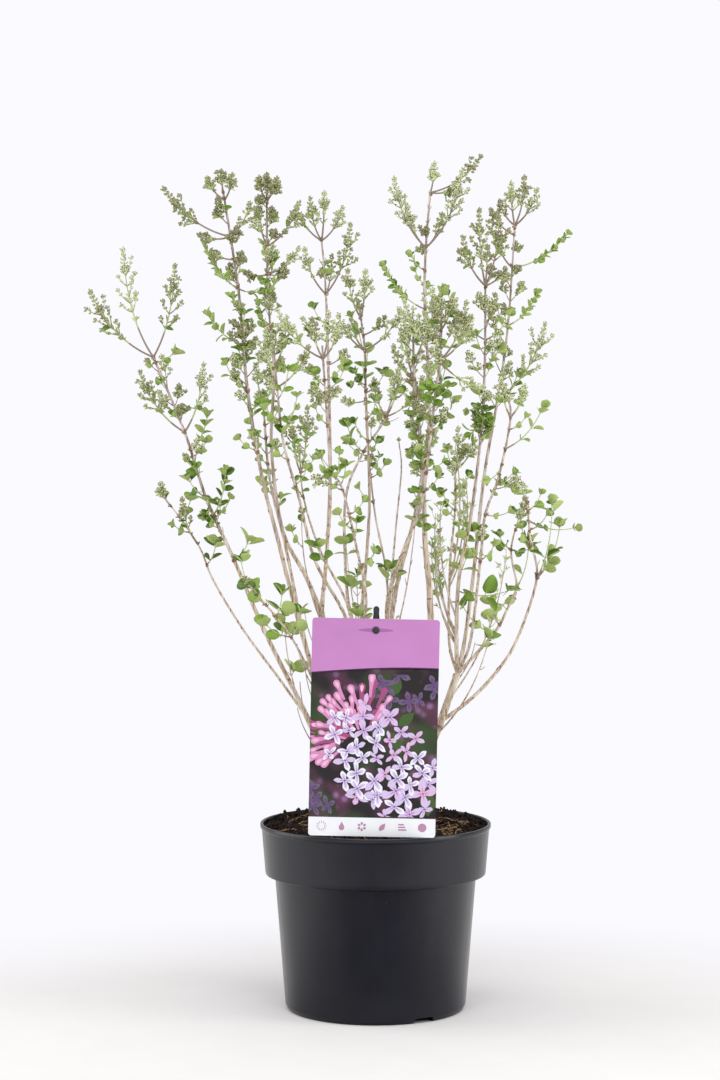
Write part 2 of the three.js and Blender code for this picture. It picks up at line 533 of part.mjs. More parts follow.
// Grows one head. pieces gathers closed geometries that are fused afterwards.
class Head {
  constructor(wand, seed) {
    this.name = `foliage_${wand.name}`;
    this.roll = dice(seed);
    this.pieces = [];
  }

  add(geometry, points, radius) {
    this.pieces.push(geometry);
    claim(this.name, points, radius);
  }

  // A short side spoke that swells into its buds near the end.
  spoke(at, direction, reach) {
    const [across] = squareTo(direction);
    const to = at.clone().addScaledVector(direction, reach);
    const from = at.clone().addScaledVector(direction, -SUNK);
    const points = beads(at.clone().addScaledVector(direction, 0.2 * reach), to);
    if (!isFree(this.name, points, SPOKE.width / 2)) return;
    const shape = spindle(from, to, SPOKE.width, SPOKE.width, SPOKE.widest, across);
    this.add(shape, points, SPOKE.width / 2);
  }

  leaf(at, direction, length) {
    const [across] = squareTo(direction);
    const tilt = (this.roll() - 0.5) * 1.2;
    across.applyAxisAngle(direction, tilt);
    const from = at.clone().addScaledVector(direction, -SUNK);
    const to = at.clone().addScaledVector(direction, length);
    const width = LEAF.widthShare * length;
    const points = beads(at.clone().addScaledVector(direction, 0.1 * length), to);
    if (!isFree(this.name, points, width / 2)) return;
    const shape = spindle(from, to, width, LEAF.thickShare * length, LEAF.widest, across);
    this.add(shape, points, width / 2);
  }

  // A side twig's curve: it leaves low and turns upwards to its rise.
  twigCurve(at, bearing, rise, length) {
    const bow = at.clone().addScaledVector(heading(bearing, rise - ARM.bend), length / 2);
    const end = at.clone().addScaledVector(heading(bearing, rise), length);
    return new THREE.QuadraticBezierCurve3(at, bow, end);
  }

  twig(curve, rings) {
    const count = Math.ceil(curve.getLength());
    const points = curve.getPoints(count).slice(Math.ceil(0.12 * count));
    const radius = Math.max(...rings.slice(1).map(([, thickness]) => thickness)) / 2;
    if (!isFree(this.name, points, radius)) return false;
    this.add(bentBar(curve, rings, 3), points, radius);
    return true;
  }

  // A flower arm: pairs of short spokes square to each other in turn, each with its buds.
  panicle(at, bearing, rise, length) {
    const curve = this.twigCurve(at, bearing, rise, length);
    const swell = 1 - BUD.length / (length + BUD.length);
    const rings = [[0, 0], [ROOTED / length, ARM.thickness], [0.5, ARM.thickness * 0.8],
      [swell, ARM.neck], [swell + 0.4 * (1 - swell), BUD.width], [1, 0]];
    if (!this.twig(curve, rings)) return;
    const pairs = ARM.pairsFrom.filter((least) => length >= least).length;
    for (let pair = 0; pair < pairs; pair += 1) {
      const share = 0.5 + 0.26 * (pair + 0.5) / pairs + 0.1 * (pairs - 1) * (pair - 0.5);
      const forward = curve.getTangent(share);
      const out = squareTo(forward)[pair % 2];
      const reach = SPOKE.share * Math.max(length, 30) * (1.25 - 0.45 * share);
      for (const way of [1, -1]) {
        const spread = rad(SPOKE.spread + 14 * (this.roll() - 0.5));
        const direction = forward.clone().multiplyScalar(Math.cos(spread))
          .addScaledVector(out, way * Math.sin(spread)).normalize();
        this.spoke(curve.getPoint(share), direction, reach);
      }
    }
  }

  // A leafy shoot: opposite leaves in pairs that turn by a right angle, and one at its end. The
  // shortest are no more than a pair of leaves on the stem.
  shoot(at, bearing, rise, length) {
    const curve = this.twigCurve(at, bearing, rise, length);
    if (length < SHOOT.shortest) {
      this.leaf(at, heading(bearing + 30, rise), LEAF.length);
      this.leaf(at, heading(bearing - 40, rise + 25), LEAF.small);
      return;
    }
    const rings = [[0, 0], [ROOTED / length, SHOOT.thickness], [0.96, SHOOT.tip]];
    if (!this.twig(curve, rings)) return;
    const pairs = Math.max(1, Math.round(length / SHOOT.leafEvery) - 1);
    for (let pair = 0; pair < pairs; pair += 1) {
      const share = pairs > 1 ? 0.35 + 0.5 * pair / pairs : 0.62;
      const forward = curve.getTangent(share);
      const out = squareTo(forward)[pair % 2];
      for (const way of [1, -1]) {
        const spread = rad(LEAF.pairSpread);
        const direction = forward.clone().multiplyScalar(Math.cos(spread))
          .addScaledVector(out, way * Math.sin(spread)).normalize();
        const size = LEAF.small + (LEAF.length - LEAF.small) * this.roll();
        this.leaf(curve.getPoint(share), direction, size);
      }
    }
    this.leaf(curve.getPoint(0.94), curve.getTangent(1), LEAF.small);
  }
}

function growHead(wand, index, curve, start) {
  const head = new Head(wand, 101 + 17 * index);
  const stretch = new Stretch(curve, start, 1);
  const [foot, tip] = wand.girth;
  const footHere = foot + (tip - foot) * start;
  const steps = Math.max(2, Math.ceil(stretch.getLength() / 45));
  const top = 1 - BUD.length / stretch.getLength();
  const rings = taper(footHere, tip, steps).map(([share, thickness]) => [share * top, thickness]);
  rings.push([top + 0.4 * (1 - top), BUD.width], [1, 0]);
  head.add(bentBar(stretch, rings, 4), stretch.getPoints(Math.ceil(stretch.getLength())),
    footHere / 2);
  return head;
}

// Arms and shoots leave the head's stem no higher than the foot of the buds at its tip.
function dressHead(head, wand, curve) {
  const highest = wand.route.at(-1)[1] - BUD.length;
  const leave = (height) => curve.getPoint(shareAt(curve, Math.min(height, highest)));
  for (const [height, bearing, rise, length] of wand.panicles) {
    head.panicle(leave(height), bearing, rise, length);
  }
  for (const [height, bearing, rise, length] of wand.shoots) {
    head.shoot(leave(height), bearing, rise, length);
  }
  return mainBody(wasm.Manifold.union(head.pieces.map(toSolid)));
}

// ---- the whole plant -------------------------------------------------------------------------

const plant = new THREE.Group();

function addNode(name, geometry, colour, roughness) {
  const material = new THREE.MeshStandardMaterial({ color: colour, roughness, metalness: 0 });
  const mesh = new THREE.Mesh(geometry, material);
  mesh.name = name;
  plant.add(mesh);
  return mesh;
}

// The label leans a little to the right, so its card and holder share one turned place.
function placeLabel(mesh) {
  mesh.position.set(CARD.centreX, CARD.front, CARD.bottom);
  mesh.rotation.y = rad(CARD.lean);
  mesh.updateMatrixWorld();
  return mesh;
}

const pot = wasm.Manifold.difference([potShell(), ...drainNotches()]);
addNode("pot", toGeometry(pot), COLOURS.pot, 0.42);

placeLabel(addNode("label_card", roundedCard(), COLOURS.card, 0.35));
const holder = placeLabel(addNode("label_holder", toGeometry(labelHolder()), COLOURS.holder, 0.4));

// The stake's pocket in the soil is the stake's own outline, grown by the gap all round.
const pocket = new THREE.BoxGeometry(HOLDER.width + 2 * GAP, HOLDER.thickness + 2 * GAP,
  SOIL.top + 10 - HOLDER.foot + GAP);
pocket.translate(0, CARD.thickness + GAP + HOLDER.thickness / 2,
  (HOLDER.foot - GAP + SOIL.top + 10) / 2 - CARD.bottom);
pocket.applyMatrix4(holder.matrixWorld);
addNode("soil", toGeometry(mainBody(soilBody().subtract(toSolid(pocket)))), COLOURS.soil, 0.95);

const crown = rootCrown();
addNode("root_crown", crown, COLOURS.bark, 0.85);
const crownMiddle = vec(CROWN.x, 0, crownFoot);
const swollenCrown = crown.clone().translate(-crownMiddle.x, 0, -crownMiddle.z)
  .scale(1 + GAP / 8, 1 + GAP / 8, 1 + GAP / 16)
  .translate(crownMiddle.x, 0, crownMiddle.z);
const crownSolid = toSolid(swollenCrown);
carved.push({ swollen: crownSolid, box: crownSolid.boundingBox() });
claim("root_crown", beads(crownMiddle, crownMiddle.clone().setZ(crownFoot + CROWN.height)),
  CROWN.waistRadius);

for (const stem of STEMS) {
  const name = `stem_${stem.name}`;
  const body = addLimb(name, stemCurve(vec(...stem.fork)), stem.girth, 7, 4);
  addNode(name, toGeometry(body), COLOURS.bark, 0.85);
}

// All boughs and head stems are placed before any twig, so that every twig can keep clear.
const heads = [];
WANDS.forEach((wand, index) => {
  const curve = wandCurve(wand);
  const lowest = Math.min(...[...wand.panicles, ...wand.shoots].map(([height]) => height));
  const bare = lowest === Infinity;
  const start = bare ? 1 : shareAt(curve, Math.max(lowest - HEAD_LEAD, wand.route[0][1] - 30));
  const [foot, tip] = wand.girth;
  const here = foot + (tip - foot) * start;
  const limb = new Stretch(curve, 0, start);
  const steps = Math.max(3, Math.ceil(limb.getLength() / 34));
  const name = `bough_${wand.name}`;
  addNode(name, toGeometry(addLimb(name, limb, [foot, here], 5, steps)), COLOURS.bark, 0.85);
  if (!bare) {
    const lead = GAP / curve.getLength();
    heads.push({ wand, curve, head: growHead(wand, index, curve, start + lead) });
  }
});
for (const { wand, curve, head } of heads) {
  addNode(head.name, toGeometry(dressHead(head, wand, curve)), COLOURS.head, 0.7);
}

export default plant;
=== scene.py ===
import math
import re
from functools import partial

import bpy
import numpy as np
from bpy.props import FloatProperty, FloatVectorProperty, IntProperty, PointerProperty
from mathutils import Matrix, Vector, noise


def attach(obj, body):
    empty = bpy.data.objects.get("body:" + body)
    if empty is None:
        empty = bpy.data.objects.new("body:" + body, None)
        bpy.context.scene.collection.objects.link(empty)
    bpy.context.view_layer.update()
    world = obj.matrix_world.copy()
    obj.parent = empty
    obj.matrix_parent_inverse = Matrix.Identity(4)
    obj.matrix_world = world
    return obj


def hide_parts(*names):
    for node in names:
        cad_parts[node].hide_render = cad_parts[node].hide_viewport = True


bl_info = {
    "name": "Potted Lilac",
    "version": (1, 0, 0),
    "blender": (4, 5, 0),
    "location": "3D View > Sidebar > Lilac",
    "description": "Dresses a potted dwarf lilac that is breaking into leaf and bud",
    "category": "Object",
}

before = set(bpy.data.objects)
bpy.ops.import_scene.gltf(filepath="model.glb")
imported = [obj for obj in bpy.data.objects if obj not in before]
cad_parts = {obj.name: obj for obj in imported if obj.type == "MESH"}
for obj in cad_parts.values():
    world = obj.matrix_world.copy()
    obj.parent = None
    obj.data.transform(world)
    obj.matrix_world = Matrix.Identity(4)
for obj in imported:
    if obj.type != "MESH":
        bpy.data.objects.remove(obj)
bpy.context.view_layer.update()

MM = 0.001  # the plant's tables are in millimetres, and everything that is made is in metres

# ---- the plant, as the CAD model grows it ----

SOIL_TOP = 153.0  # the compost's level

# The root crown. Its profile is a radius at each share of its height.
CROWN = {
    "x": -3, "foot": 153.3, "height": 24, "lobes": 5, "lobe_share": 0.14,
    "profile": [(19, 0), (15, 0.25), (13, 0.5), (11, 0.85), (6, 1)],
}

# The short main stems: where each ends in its fork, and its thickness at foot and fork.
STEMS = [
    ("left", (-54, 4, 236), (8, 5.6)),
    ("left_inner", (-47, -22, 265), (7.6, 5.4)),
    ("mid_left", (-45, 18, 326), (8.4, 5.8)),
    ("front", (-19, -26, 294), (7, 5)),
    ("back", (-4, 32, 285), (7, 5)),
    ("mid_right", (11, 14, 303), (7.6, 5.8)),
    ("right", (67, -4, 276), (8.6, 6)),
]

# Each wand: its name, the limb it leaves and how far along that, how far its tip stands behind
# (+) or in front of (-) the middle plane, its thickness at foot and tip, the places it passes as
# (sideways, height), and its flower arms and leafy shoots as (height, bearing, rise, length).
# Bearing 0 is to the right and 90 to the back, and rise is measured up from level.
WANDS = [
    ("far_left", ("stem_left", 1), -10, (4.2, 1.9),
     [(-91, 311), (-116, 370), (-139, 422), (-156, 475), (-182, 538)],
     [(536, -160, 45, 75), (536, 130, 65, 99), (536, -55, 65, 81), (475, 155, 50, 65),
      (475, -50, 65, 61)],
     [(532, -15, 25, 17), (460, 40, 60, 34), (407, -50, 65, 39), (370, 25, 50, 19),
      (422, -160, 45, 20)]),
    ("low_left", ("stem_left", 1), 70, (2.6, 1.3),
     [(-79, 269), (-110, 309), (-136, 350), (-150, 381), (-183, 426)],
     [(381, -130, 65, 42), (413, 145, 60, 21)],
     [(363, -35, 60, 19), (390, 165, 20, 14), (402, -30, 55, 19)]),
    ("left_leafy", ("stem_left_inner", 1), -90, (2.2, 1.3),
     [(-68, 312), (-94, 347), (-104, 361)],
     [],
     [(347, -145, 60, 30), (329, 55, 65, 18), (312, -165, 25, 21), (312, 40, 60, 20),
      (339, -155, 50, 15)]),
    ("tall_left", ("stem_left_inner", 1), -60, (4.2, 1.7),
     [(-63, 323), (-79, 388), (-92, 441), (-103, 509), (-109, 581), (-116, 631), (-122, 669)],
     [(660, 155, 50, 24), (660, -45, 65, 22), (666, 105, 70, 19), (631, -165, 35, 66),
      (631, 165, 5, 27), (631, -30, 55, 32), (613, 165, 20, 20)],
     [(590, 155, 50, 45), (590, -15, -5, 22), (545, 165, 40, 39), (509, -160, 50, 28),
      (461, 165, 30, 16), (493, -20, 45, 14)]),
    ("left_short", ("stem_left_inner", 1), 60, (3.4, 1.7),
     [(-60, 312), (-74, 377), (-88, 434), (-93, 484), (-95, 504)],
     [(502, -115, 70, 31), (502, 45, 65, 25)],
     [(468, -160, 45, 18), (480, 20, 45, 15), (447, -150, 55, 16)]),
    ("tall_left_inner", ("stem_mid_left", 1), 30, (4, 1.7),
     [(-58, 356), (-77, 394), (-86, 460), (-84, 526), (-89, 592), (-90, 688)],
     [(666, 135, 65, 22), (666, -35, 60, 21), (628, 120, 70, 45), (628, -25, 50, 47),
      (605, 15, 40, 35), (605, -165, 5, 20), (592, 35, 55, 27)],
     [(605, 15, 10, 18), (559, -145, 60, 24), (542, 20, 45, 22), (526, -150, 55, 19)]),
    ("panicle_left", ("stem_front", 1), -100, (3.2, 1.5),
     [(-25, 327), (-49, 373), (-61, 422), (-73, 466), (-78, 511), (-81, 552)],
     [(511, -115, 70, 49), (511, 25, 50, 42), (528, -55, 65, 37)],
     [(485, -165, 35, 14), (485, 15, 35, 14), (477, -35, 60, 30), (454, 165, 40, 15),
      (434, -25, 50, 15)]),
    ("thin_mid_left", ("stem_front", 1), 60, (2.6, 1.3),
     [(-23, 332), (-46, 377), (-60, 420), (-64, 463)],
     [(440, 75, 70, 59), (440, -115, 70, 48)],
     [(440, 20, 45, 15), (420, -145, 60, 15)]),
    ("front_mid", ("stem_left_inner", 1), -130, (3.4, 1.6),
     [(-43, 331), (-40, 374), (-36, 422), (-38, 478), (-42, 543)],
     [(533, 160, 45, 54), (533, -125, 65, 34), (533, 70, 70, 38), (533, -35, 60, 30)],
     [(516, 15, 40, 19), (505, -150, 55, 20), (501, 20, 45, 14), (482, -155, 50, 15)]),
    ("tall_mid", ("stem_mid_left", 1), 120, (3.8, 1.6),
     [(-41, 368), (-38, 434), (-39, 501), (-42, 592), (-46, 641)],
     [(638, -155, 50, 37), (638, 125, 65, 42), (638, -80, 70, 43), (638, 30, 55, 36),
      (592, -145, 60, 44), (592, 65, 70, 36), (592, -40, 65, 65)],
     [(565, -155, 50, 19), (531, 15, 40, 20), (501, -160, 40, 14)]),
    ("back_mid", ("stem_back", 1), 160, (3.2, 1.7),
     [(-20, 319), (-25, 357), (-25, 418), (-10, 456), (10, 487), (20, 528)],
     [(487, -55, 65, 46), (487, 15, 40, 40), (487, -135, 65, 36)],
     [(456, -145, 55, 29), (456, 15, 35, 16), (487, -155, 50, 18)]),
    ("centre", ("stem_back", 1), -10, (3.4, 1.6),
     [(-11, 321), (-7, 377), (-5, 427), (-8, 501), (-9, 542), (-14, 582)],
     [(542, -155, 50, 37), (542, 140, 60, 30), (542, -20, 45, 44), (568, 125, 65, 44),
      (568, -75, 70, 40), (554, 15, 40, 24)],
     [(507, -20, 45, 22), (501, 165, 0, 20), (526, -160, -45, 14), (485, 35, 60, 18),
      (468, -155, 50, 17)]),
    ("thin_centre", ("stem_mid_right", 1), 20, (2.6, 1.3),
     [(11, 329), (8, 365), (0, 405), (-6, 457)],
     [],
     [(455, 165, 30, 20), (455, -30, 55, 12), (437, 20, 40, 15), (417, -160, 40, 16)]),
    ("front_leafy", ("stem_front", 1), -160, (2.8, 1.4),
     [(-8, 339), (-16, 389), (-26, 432), (-33, 444)],
     [],
     [(442, 155, 50, 19), (442, -60, 70, 18), (432, 165, 35, 14), (413, -20, 40, 14),
      (401, 160, 45, 15), (372, -20, 40, 14)]),
    ("dead_twig", ("bough_thin_centre", 0.3), 70, (2, 1),
     [(17, 392), (22, 442), (20, 467)],
     [], []),
    ("tallest_right", ("stem_mid_right", 1), 90, (4.2, 1.8),
     [(18, 348), (34, 409), (43, 464), (46, 501), (42, 578), (43, 630), (47, 679)],
     [(677, 15, 35, 55), (677, -15, 10, 23), (677, 75, 60, 30), (630, -145, 60, 66),
      (630, 140, 60, 41), (630, -35, 60, 73), (630, 35, 60, 34)],
     [(578, 160, 45, 51), (578, -20, 45, 21), (535, 20, 45, 17), (501, -160, 45, 16),
      (611, 160, 45, 17)]),
    ("front_right", ("stem_mid_right", 1), -110, (3.8, 1.7),
     [(10, 338), (24, 384), (37, 421), (46, 501), (50, 532), (51, 579)],
     [(532, 15, -30, 42), (532, -150, 55, 57), (532, 105, 70, 60), (532, -40, 60, 52),
      (532, 25, 50, 44), (556, -45, 65, 26)],
     [(513, 20, -40, 17), (477, -15, 35, 16), (445, 15, 25, 14), (429, -15, 40, 14),
      (461, 165, 35, 14)]),
    ("right_thick", ("root_crown", 1), -40, (7, 1.7),
     [(40, 298), (44, 339), (40, 384), (39, 420), (36, 469), (31, 517), (30, 565)],
     [(517, 115, 70, 59), (517, -150, 55, 34), (533, 50, 65, 39), (505, -40, 60, 30)],
     [(469, 135, 65, 21), (469, -25, 50, 16), (497, 165, 40, 14), (445, -155, 50, 16)]),
    ("back_right", ("stem_right", 1), 100, (2.8, 1.4),
     [(61, 303), (63, 363), (68, 408), (69, 442), (79, 463)],
     [(442, -30, 55, 32), (442, 80, 70, 38)],
     [(408, -155, 50, 17), (425, 20, 40, 15), (442, -145, 60, 18)]),
    ("right_upright", ("stem_right", 1), -60, (4, 1.7),
     [(66, 313), (68, 359), (77, 408), (84, 469), (87, 529), (87, 595)],
     [(592, 140, 60, 46), (592, -85, 70, 33), (592, 100, 70, 66), (592, -60, 70, 58),
      (592, 15, 40, 22)],
     [(549, 155, 50, 52), (549, -20, 45, 29), (501, 165, -35, 14), (489, -150, -55, 17),
      (529, 20, 45, 17)]),
    ("right_tall", ("stem_right", 1), 40, (3.8, 1.6),
     [(74, 308), (82, 369), (90, 439), (101, 501), (110, 563), (116, 649)],
     [(646, -60, 70, 42), (646, 100, 70, 39), (646, -30, 55, 36), (646, 145, 55, 26),
      (638, -160, 45, 30), (611, 145, 60, 29), (501, -30, 55, 77)],
     [(611, -15, 30, 53), (563, 20, 45, 36), (501, -25, 50, 28), (563, 150, 55, 17)]),
    ("right_front", ("stem_right", 1), -130, (3, 1.5),
     [(77, 306), (83, 374), (86, 411), (96, 442), (104, 488), (99, 510)],
     [(488, 35, 60, 28), (488, -125, 65, 33)],
     [(463, 20, 45, 44), (478, -15, 35, 15), (442, 20, -45, 14), (411, -15, 5, 18),
      (374, 155, 50, 21), (374, -20, 45, 15), (450, 155, -50, 14)]),
    ("right_leafy", ("stem_right", 1), 60, (3, 1.4),
     [(98, 308), (110, 328), (118, 345), (114, 376), (123, 409)],
     [(392, 45, 65, 30)],
     [(345, 50, 65, 39), (376, -160, 45, 14), (345, 155, -50, 19), (308, -165, 40, 34),
      (315, 145, 60, 18), (376, -15, 0, 14)]),
    ("far_right", ("stem_right", 0.7), 15, (3.4, 1.5),
     [(78, 255), (100, 278), (117, 305), (133, 354), (128, 386), (125, 419)],
     [(419, 125, 65, 18)],
     [(354, 35, 60, 48), (354, -60, 70, 65), (357, 25, 50, 21), (394, -15, 40, 18),
      (402, 15, -10, 40), (410, -25, 50, 17), (382, 150, 55, 15)]),
]

HEAD_LEAD = 12  # a head starts this far under its lowest shoot
ARM_BEND = 24  # degrees that a side twig turns upwards on its way
NODE_GAP = 34  # mean distance between the leaf scars of a wand
BARK_TOPS = (400, 520)  # up to about these heights the bark is the oldest, and the next oldest

# What grows at the joints between a wand's arms, by height: the chance of a leafy twig, a budded
# twig, a rosette of leaves and a dry stub, and a twig's mean length.
FILL = {
    "height": (300, 380, 450, 540, 600, 660),
    "leafy": (0.0, 0.04, 0.20, 0.22, 0.10, 0.02),
    "budded": (0.0, 0.08, 0.42, 0.55, 0.42, 0.16),
    "rosette": (0.02, 0.05, 0.12, 0.10, 0.04, 0.0),
    "dry": (0.30, 0.22, 0.06, 0.06, 0.25, 0.40),
    "reach": (9, 12, 20, 24, 14, 7),
}

# How much of that a wand carries, where it isn't just that.
FULLNESS = {"far_right": 0.3, "right_leafy": 0.45, "left_leafy": 0.55, "panicle_left": 0.5,
            "thin_mid_left": 0.5, "left_short": 0.85, "tall_mid": 0.7, "thin_centre": 0.3,
            "front_leafy": 0.65, "tall_left_inner": 1.1, "right_front": 0.55, "right_tall": 0.9,
            "centre": 0.85}

# Where a wand is fuller than that: between two heights, what grows there, how many and how long.
THICKETS = {
    "far_left": [(385, 440, "leafy", 4, 14), (475, 510, "budded", 3, 15)],
    "tall_left": [(590, 650, "budded", 7, 17), (560, 600, "leafy", 3, 16),
        (490, 560, "budded", 11, 19), (485, 560, "leafy", 5, 14)],
    "tall_left_inner": [(645, 680, "budded", 4, 16), (600, 645, "budded", 4, 18),
        (585, 620, "leafy", 6, 15), (500, 600, "budded", 7, 17), (480, 560, "leafy", 5, 12)],
    "left_short": [(400, 450, "leafy", 3, 14)],
    "centre": [(425, 450, "leafy", 1, 14), (500, 560, "leafy", 6, 16)],
    "right_thick": [(345, 430, "leafy", 3, 15), (440, 500, "leafy", 6, 14),
        (480, 540, "budded", 4, 22), (500, 560, "budded", 3, 18)],
    "front_right": [(455, 500, "rosette", 4, 9), (480, 505, "leafy", 3, 18),
        (475, 510, "budded", 3, 22), (540, 565, "budded", 5, 20)],
    "right_upright": [(345, 410, "leafy", 2, 13), (460, 500, "leafy", 6, 13),
        (462, 500, "rosette", 4, 9), (465, 505, "budded", 4, 16), (560, 600, "budded", 4, 20)],
    "right_tall": [(545, 610, "budded", 2, 18)],
    "back_right": [(340, 440, "budded", 1, 18), (425, 442, "rosette", 1, 9)],
}

# Leafy twigs that stand out: a height on the wand, a bearing, a rise, a length, and how much
# larger than a full leaf theirs are.
BROAD_TWIGS = {
    "right_upright": [(346, -14, 2, 44, 1.15)],
    "thin_centre": [(350, -80, 60, 12, 1.1)],
    "right_tall": [(384, -100, 40, 13, 1.1)],
    "far_left": [(455, 25, 45, 15, 1.0), (405, 10, 50, 19, 1.05)],
    "right_front": [(436, 0, 30, 14, 1.0)],
    "front_mid": [(372, -120, 45, 16, 1.05)],
}

# Thin shoots beside a wand: between two heights, the way they lean along X, and how many.
WITHES = [("right_upright", 300, 335, -1, 6), ("back_right", 325, 350, 1, 3)]

# ---- small helpers ----


def to_linear(code):
    """The linear colour of an sRGB hex code, with full alpha."""
    shares = [int(code[i:i + 2], 16) / 255 for i in (1, 3, 5)]
    return (*(s / 12.92 if s <= 0.04045 else ((s + 0.055) / 1.055) ** 2.4 for s in shares), 1)


def shade(colour, factor):
    """A lighter or darker colour of the same hue."""
    return (*(min(1, c * factor) for c in colour[:3]), 1)


def per_metre(millimetres):
    """The scale that makes a texture repeat once in so many millimetres."""
    return 1 / (millimetres * MM)


def unit(vector):
    """The vector's direction, one long."""
    return vector / np.linalg.norm(vector)


def heading(bearing, rise):
    """The direction with a bearing and a rise in degrees."""
    level = math.cos(math.radians(rise))
    turn = math.radians(bearing)
    return np.array((level * math.cos(turn), level * math.sin(turn), math.sin(math.radians(rise))))


def square_to(direction):
    """Two directions square to the given one, turned so that the first stays level."""
    upright = np.array((1.0, 0, 0) if abs(direction[2]) > 0.999 else (0, 0, 1.0))
    across = unit(np.cross(upright, direction))
    return across, np.cross(direction, across)


def sideways(outs, turn):
    """The direction at an angle round a limb, from the two that stand square to it."""
    return outs[0] * math.cos(turn) + outs[1] * math.sin(turn)


def leaning(forward, out, degrees):
    """A direction turned so many degrees from forward towards out."""
    turn = math.radians(degrees)
    return forward * math.cos(turn) + out * math.sin(turn)


class Spline:
    """A curve through points, by the same uniform rule as the CAD model's limbs."""

    def __init__(self, points):
        points = np.asarray(points, float)
        self.knots = np.vstack([2 * points[0] - points[1], points, 2 * points[-1] - points[-2]])
        self.spans = len(points) - 1

    def at(self, shares):
        place = np.clip(np.atleast_1d(shares), 0, 1) * self.spans
        span = np.minimum(place.astype(int), self.spans - 1)
        t = (place - span)[:, None]
        a, b, c, d = (self.knots[span + i] for i in range(4))
        enter, leave = (c - a) / 2, (d - b) / 2
        curve = (3 * (c - b) - 2 * enter - leave) * t ** 2 + (2 * (b - c) + enter + leave) * t ** 3
        return b + enter * t + curve


class Bow:
    """A side twig's curve: from a foot, past a bow, to its end."""

    def __init__(self, foot, bow, end):
        self.corners = [np.asarray(p, float) for p in (foot, bow, end)]

    def at(self, shares):
        t = np.clip(np.atleast_1d(shares), 0, 1)[:, None]
        foot, bow, end = self.corners
        return (1 - t) ** 2 * foot + 2 * t * (1 - t) * bow + t ** 2 * end


def side_line(at, bearing, rise, length):
    """A side twig's line from its foot to its end, turned upwards on its way."""
    return Bow(at, at + heading(bearing, rise - ARM_BEND) * length / 2,
               at + heading(bearing, rise) * length)


class Stretch:
    """The part of a curve between two of its shares."""

    def __init__(self, whole, low, high):
        self.whole, self.low, self.high = whole, low, high

    def at(self, shares):
        return self.whole.at(self.low + (self.high - self.low) * np.atleast_1d(shares))


def run_of(line):
    """The length of a curve."""
    points = line.at(np.linspace(0, 1, 33))
    return float(np.linalg.norm(np.diff(points, axis=0), axis=1).sum())


def stand_on(line, share):
    """The place at a share of a curve, the way it goes there, and two directions square to it."""
    before, at, after = line.at([max(0, share - 0.01), share, min(1, share + 0.01)])
    forward = unit(after - before)
    return at, forward, square_to(forward)


def stand_out(line, share, turn):
    """The place at a share of a curve, the way it goes there, and the way out at an angle."""
    at, forward, outs = stand_on(line, share)
    return at, forward, sideways(outs, turn)


def share_at(line, height):
    """The share of a rising curve at which it reaches a height."""
    low, high = 0.0, 1.0
    for _ in range(24):
        middle = (low + high) / 2
        if line.at(middle)[0][2] < height:
            low = middle
        else:
            high = middle
    return low


# ---- gathering meshes ----


class Growth:
    """Many small closed forms gathered for one mesh, each face with the number of its finish."""

    def __init__(self):
        self.points = []
        self.faces = {3: [], 4: []}
        self.numbers = {3: [], 4: []}
        self.total = 0

    def add(self, points, *parts):
        """Adds one closed form. Its parts are pairs of faces, as rows of points, and finish."""
        for rows, finish in parts:
            self.faces[rows.shape[1]].append(rows + self.total)
            self.numbers[rows.shape[1]].append(np.broadcast_to(finish, len(rows)))
        self.points.append(points)
        self.total += len(points)

    def add_rings(self, rings, ends, finish):
        """Adds the closed form that runs through rings of points, shut by a fan at each end."""
        quads, caps = ring_rows(len(rings), len(rings[0]))
        points = np.concatenate([np.reshape(rings, (-1, 3)), ends])
        self.add(points, (quads, finish), (caps, finish))

    def piece(self, name, finishes, slot, smooth=True):
        """Makes the mesh as a piece with its finishes, which rides on the pot's body if slot is given.
        """
        sizes = [n for n in (3, 4) if self.faces[n]]
        rows = {n: np.concatenate(self.faces[n]) for n in sizes}
        corners = np.concatenate([rows[n].ravel() for n in sizes])
        totals = np.concatenate([np.full(len(rows[n]), n) for n in sizes])
        numbers = np.concatenate([np.concatenate(self.numbers[n]) for n in sizes])
        mesh = bpy.data.meshes.new(name)
        mesh.vertices.add(self.total)
        mesh.vertices.foreach_set("co", np.concatenate(self.points).astype(np.float32).ravel())
        mesh.loops.add(len(corners))
        mesh.loops.foreach_set("vertex_index", corners.astype(np.int32))
        mesh.polygons.add(len(totals))
        mesh.polygons.foreach_set("loop_start", (np.cumsum(totals) - totals).astype(np.int32))
        mesh.polygons.foreach_set("loop_total", totals.astype(np.int32))
        mesh.polygons.foreach_set("material_index", numbers.astype(np.int32))
        mesh.polygons.foreach_set("use_smooth", np.full(len(totals), smooth))
        mesh.update(calc_edges=True)
        for finish in finishes:
            mesh.materials.append(finish)
        made = bpy.data.objects.new(name, mesh)
        bpy.context.scene.collection.objects.link(made)
        if slot:
            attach(made, "root")
        return made


def turns(sides):
    """The angles of so many points round a ring."""
    return np.arange(sides) * 2 * math.pi / sides


def level_rings(radii, heights, sides, x=0.0):
    """Rings of points about an upright line at x, from each ring's radius and height."""
    turn = turns(sides)
    across = radii * np.cos(turn) + x
    return np.stack([across, radii * np.sin(turn), np.broadcast_to(heights, across.shape)], axis=-1)


def ring_rows(rings, sides):
    """Faces of a closed bar: the quads between its rings, and the fans of its two ends."""
    side = np.arange(sides)
    after = (side + 1) % sides
    ring = np.arange(rings - 1)[:, None] * sides
    quads = np.stack([ring + side, ring + after, ring + sides + after, ring + sides + side], axis=-1)
    foot, tip = rings * sides, rings * sides + 1
    last = (rings - 1) * sides
    caps = np.concatenate([
        np.stack([np.full(sides, foot), after, side], axis=-1),
        np.stack([np.full(sides, tip), last + side, last + after], axis=-1)])
    return quads.reshape(-1, 4), caps


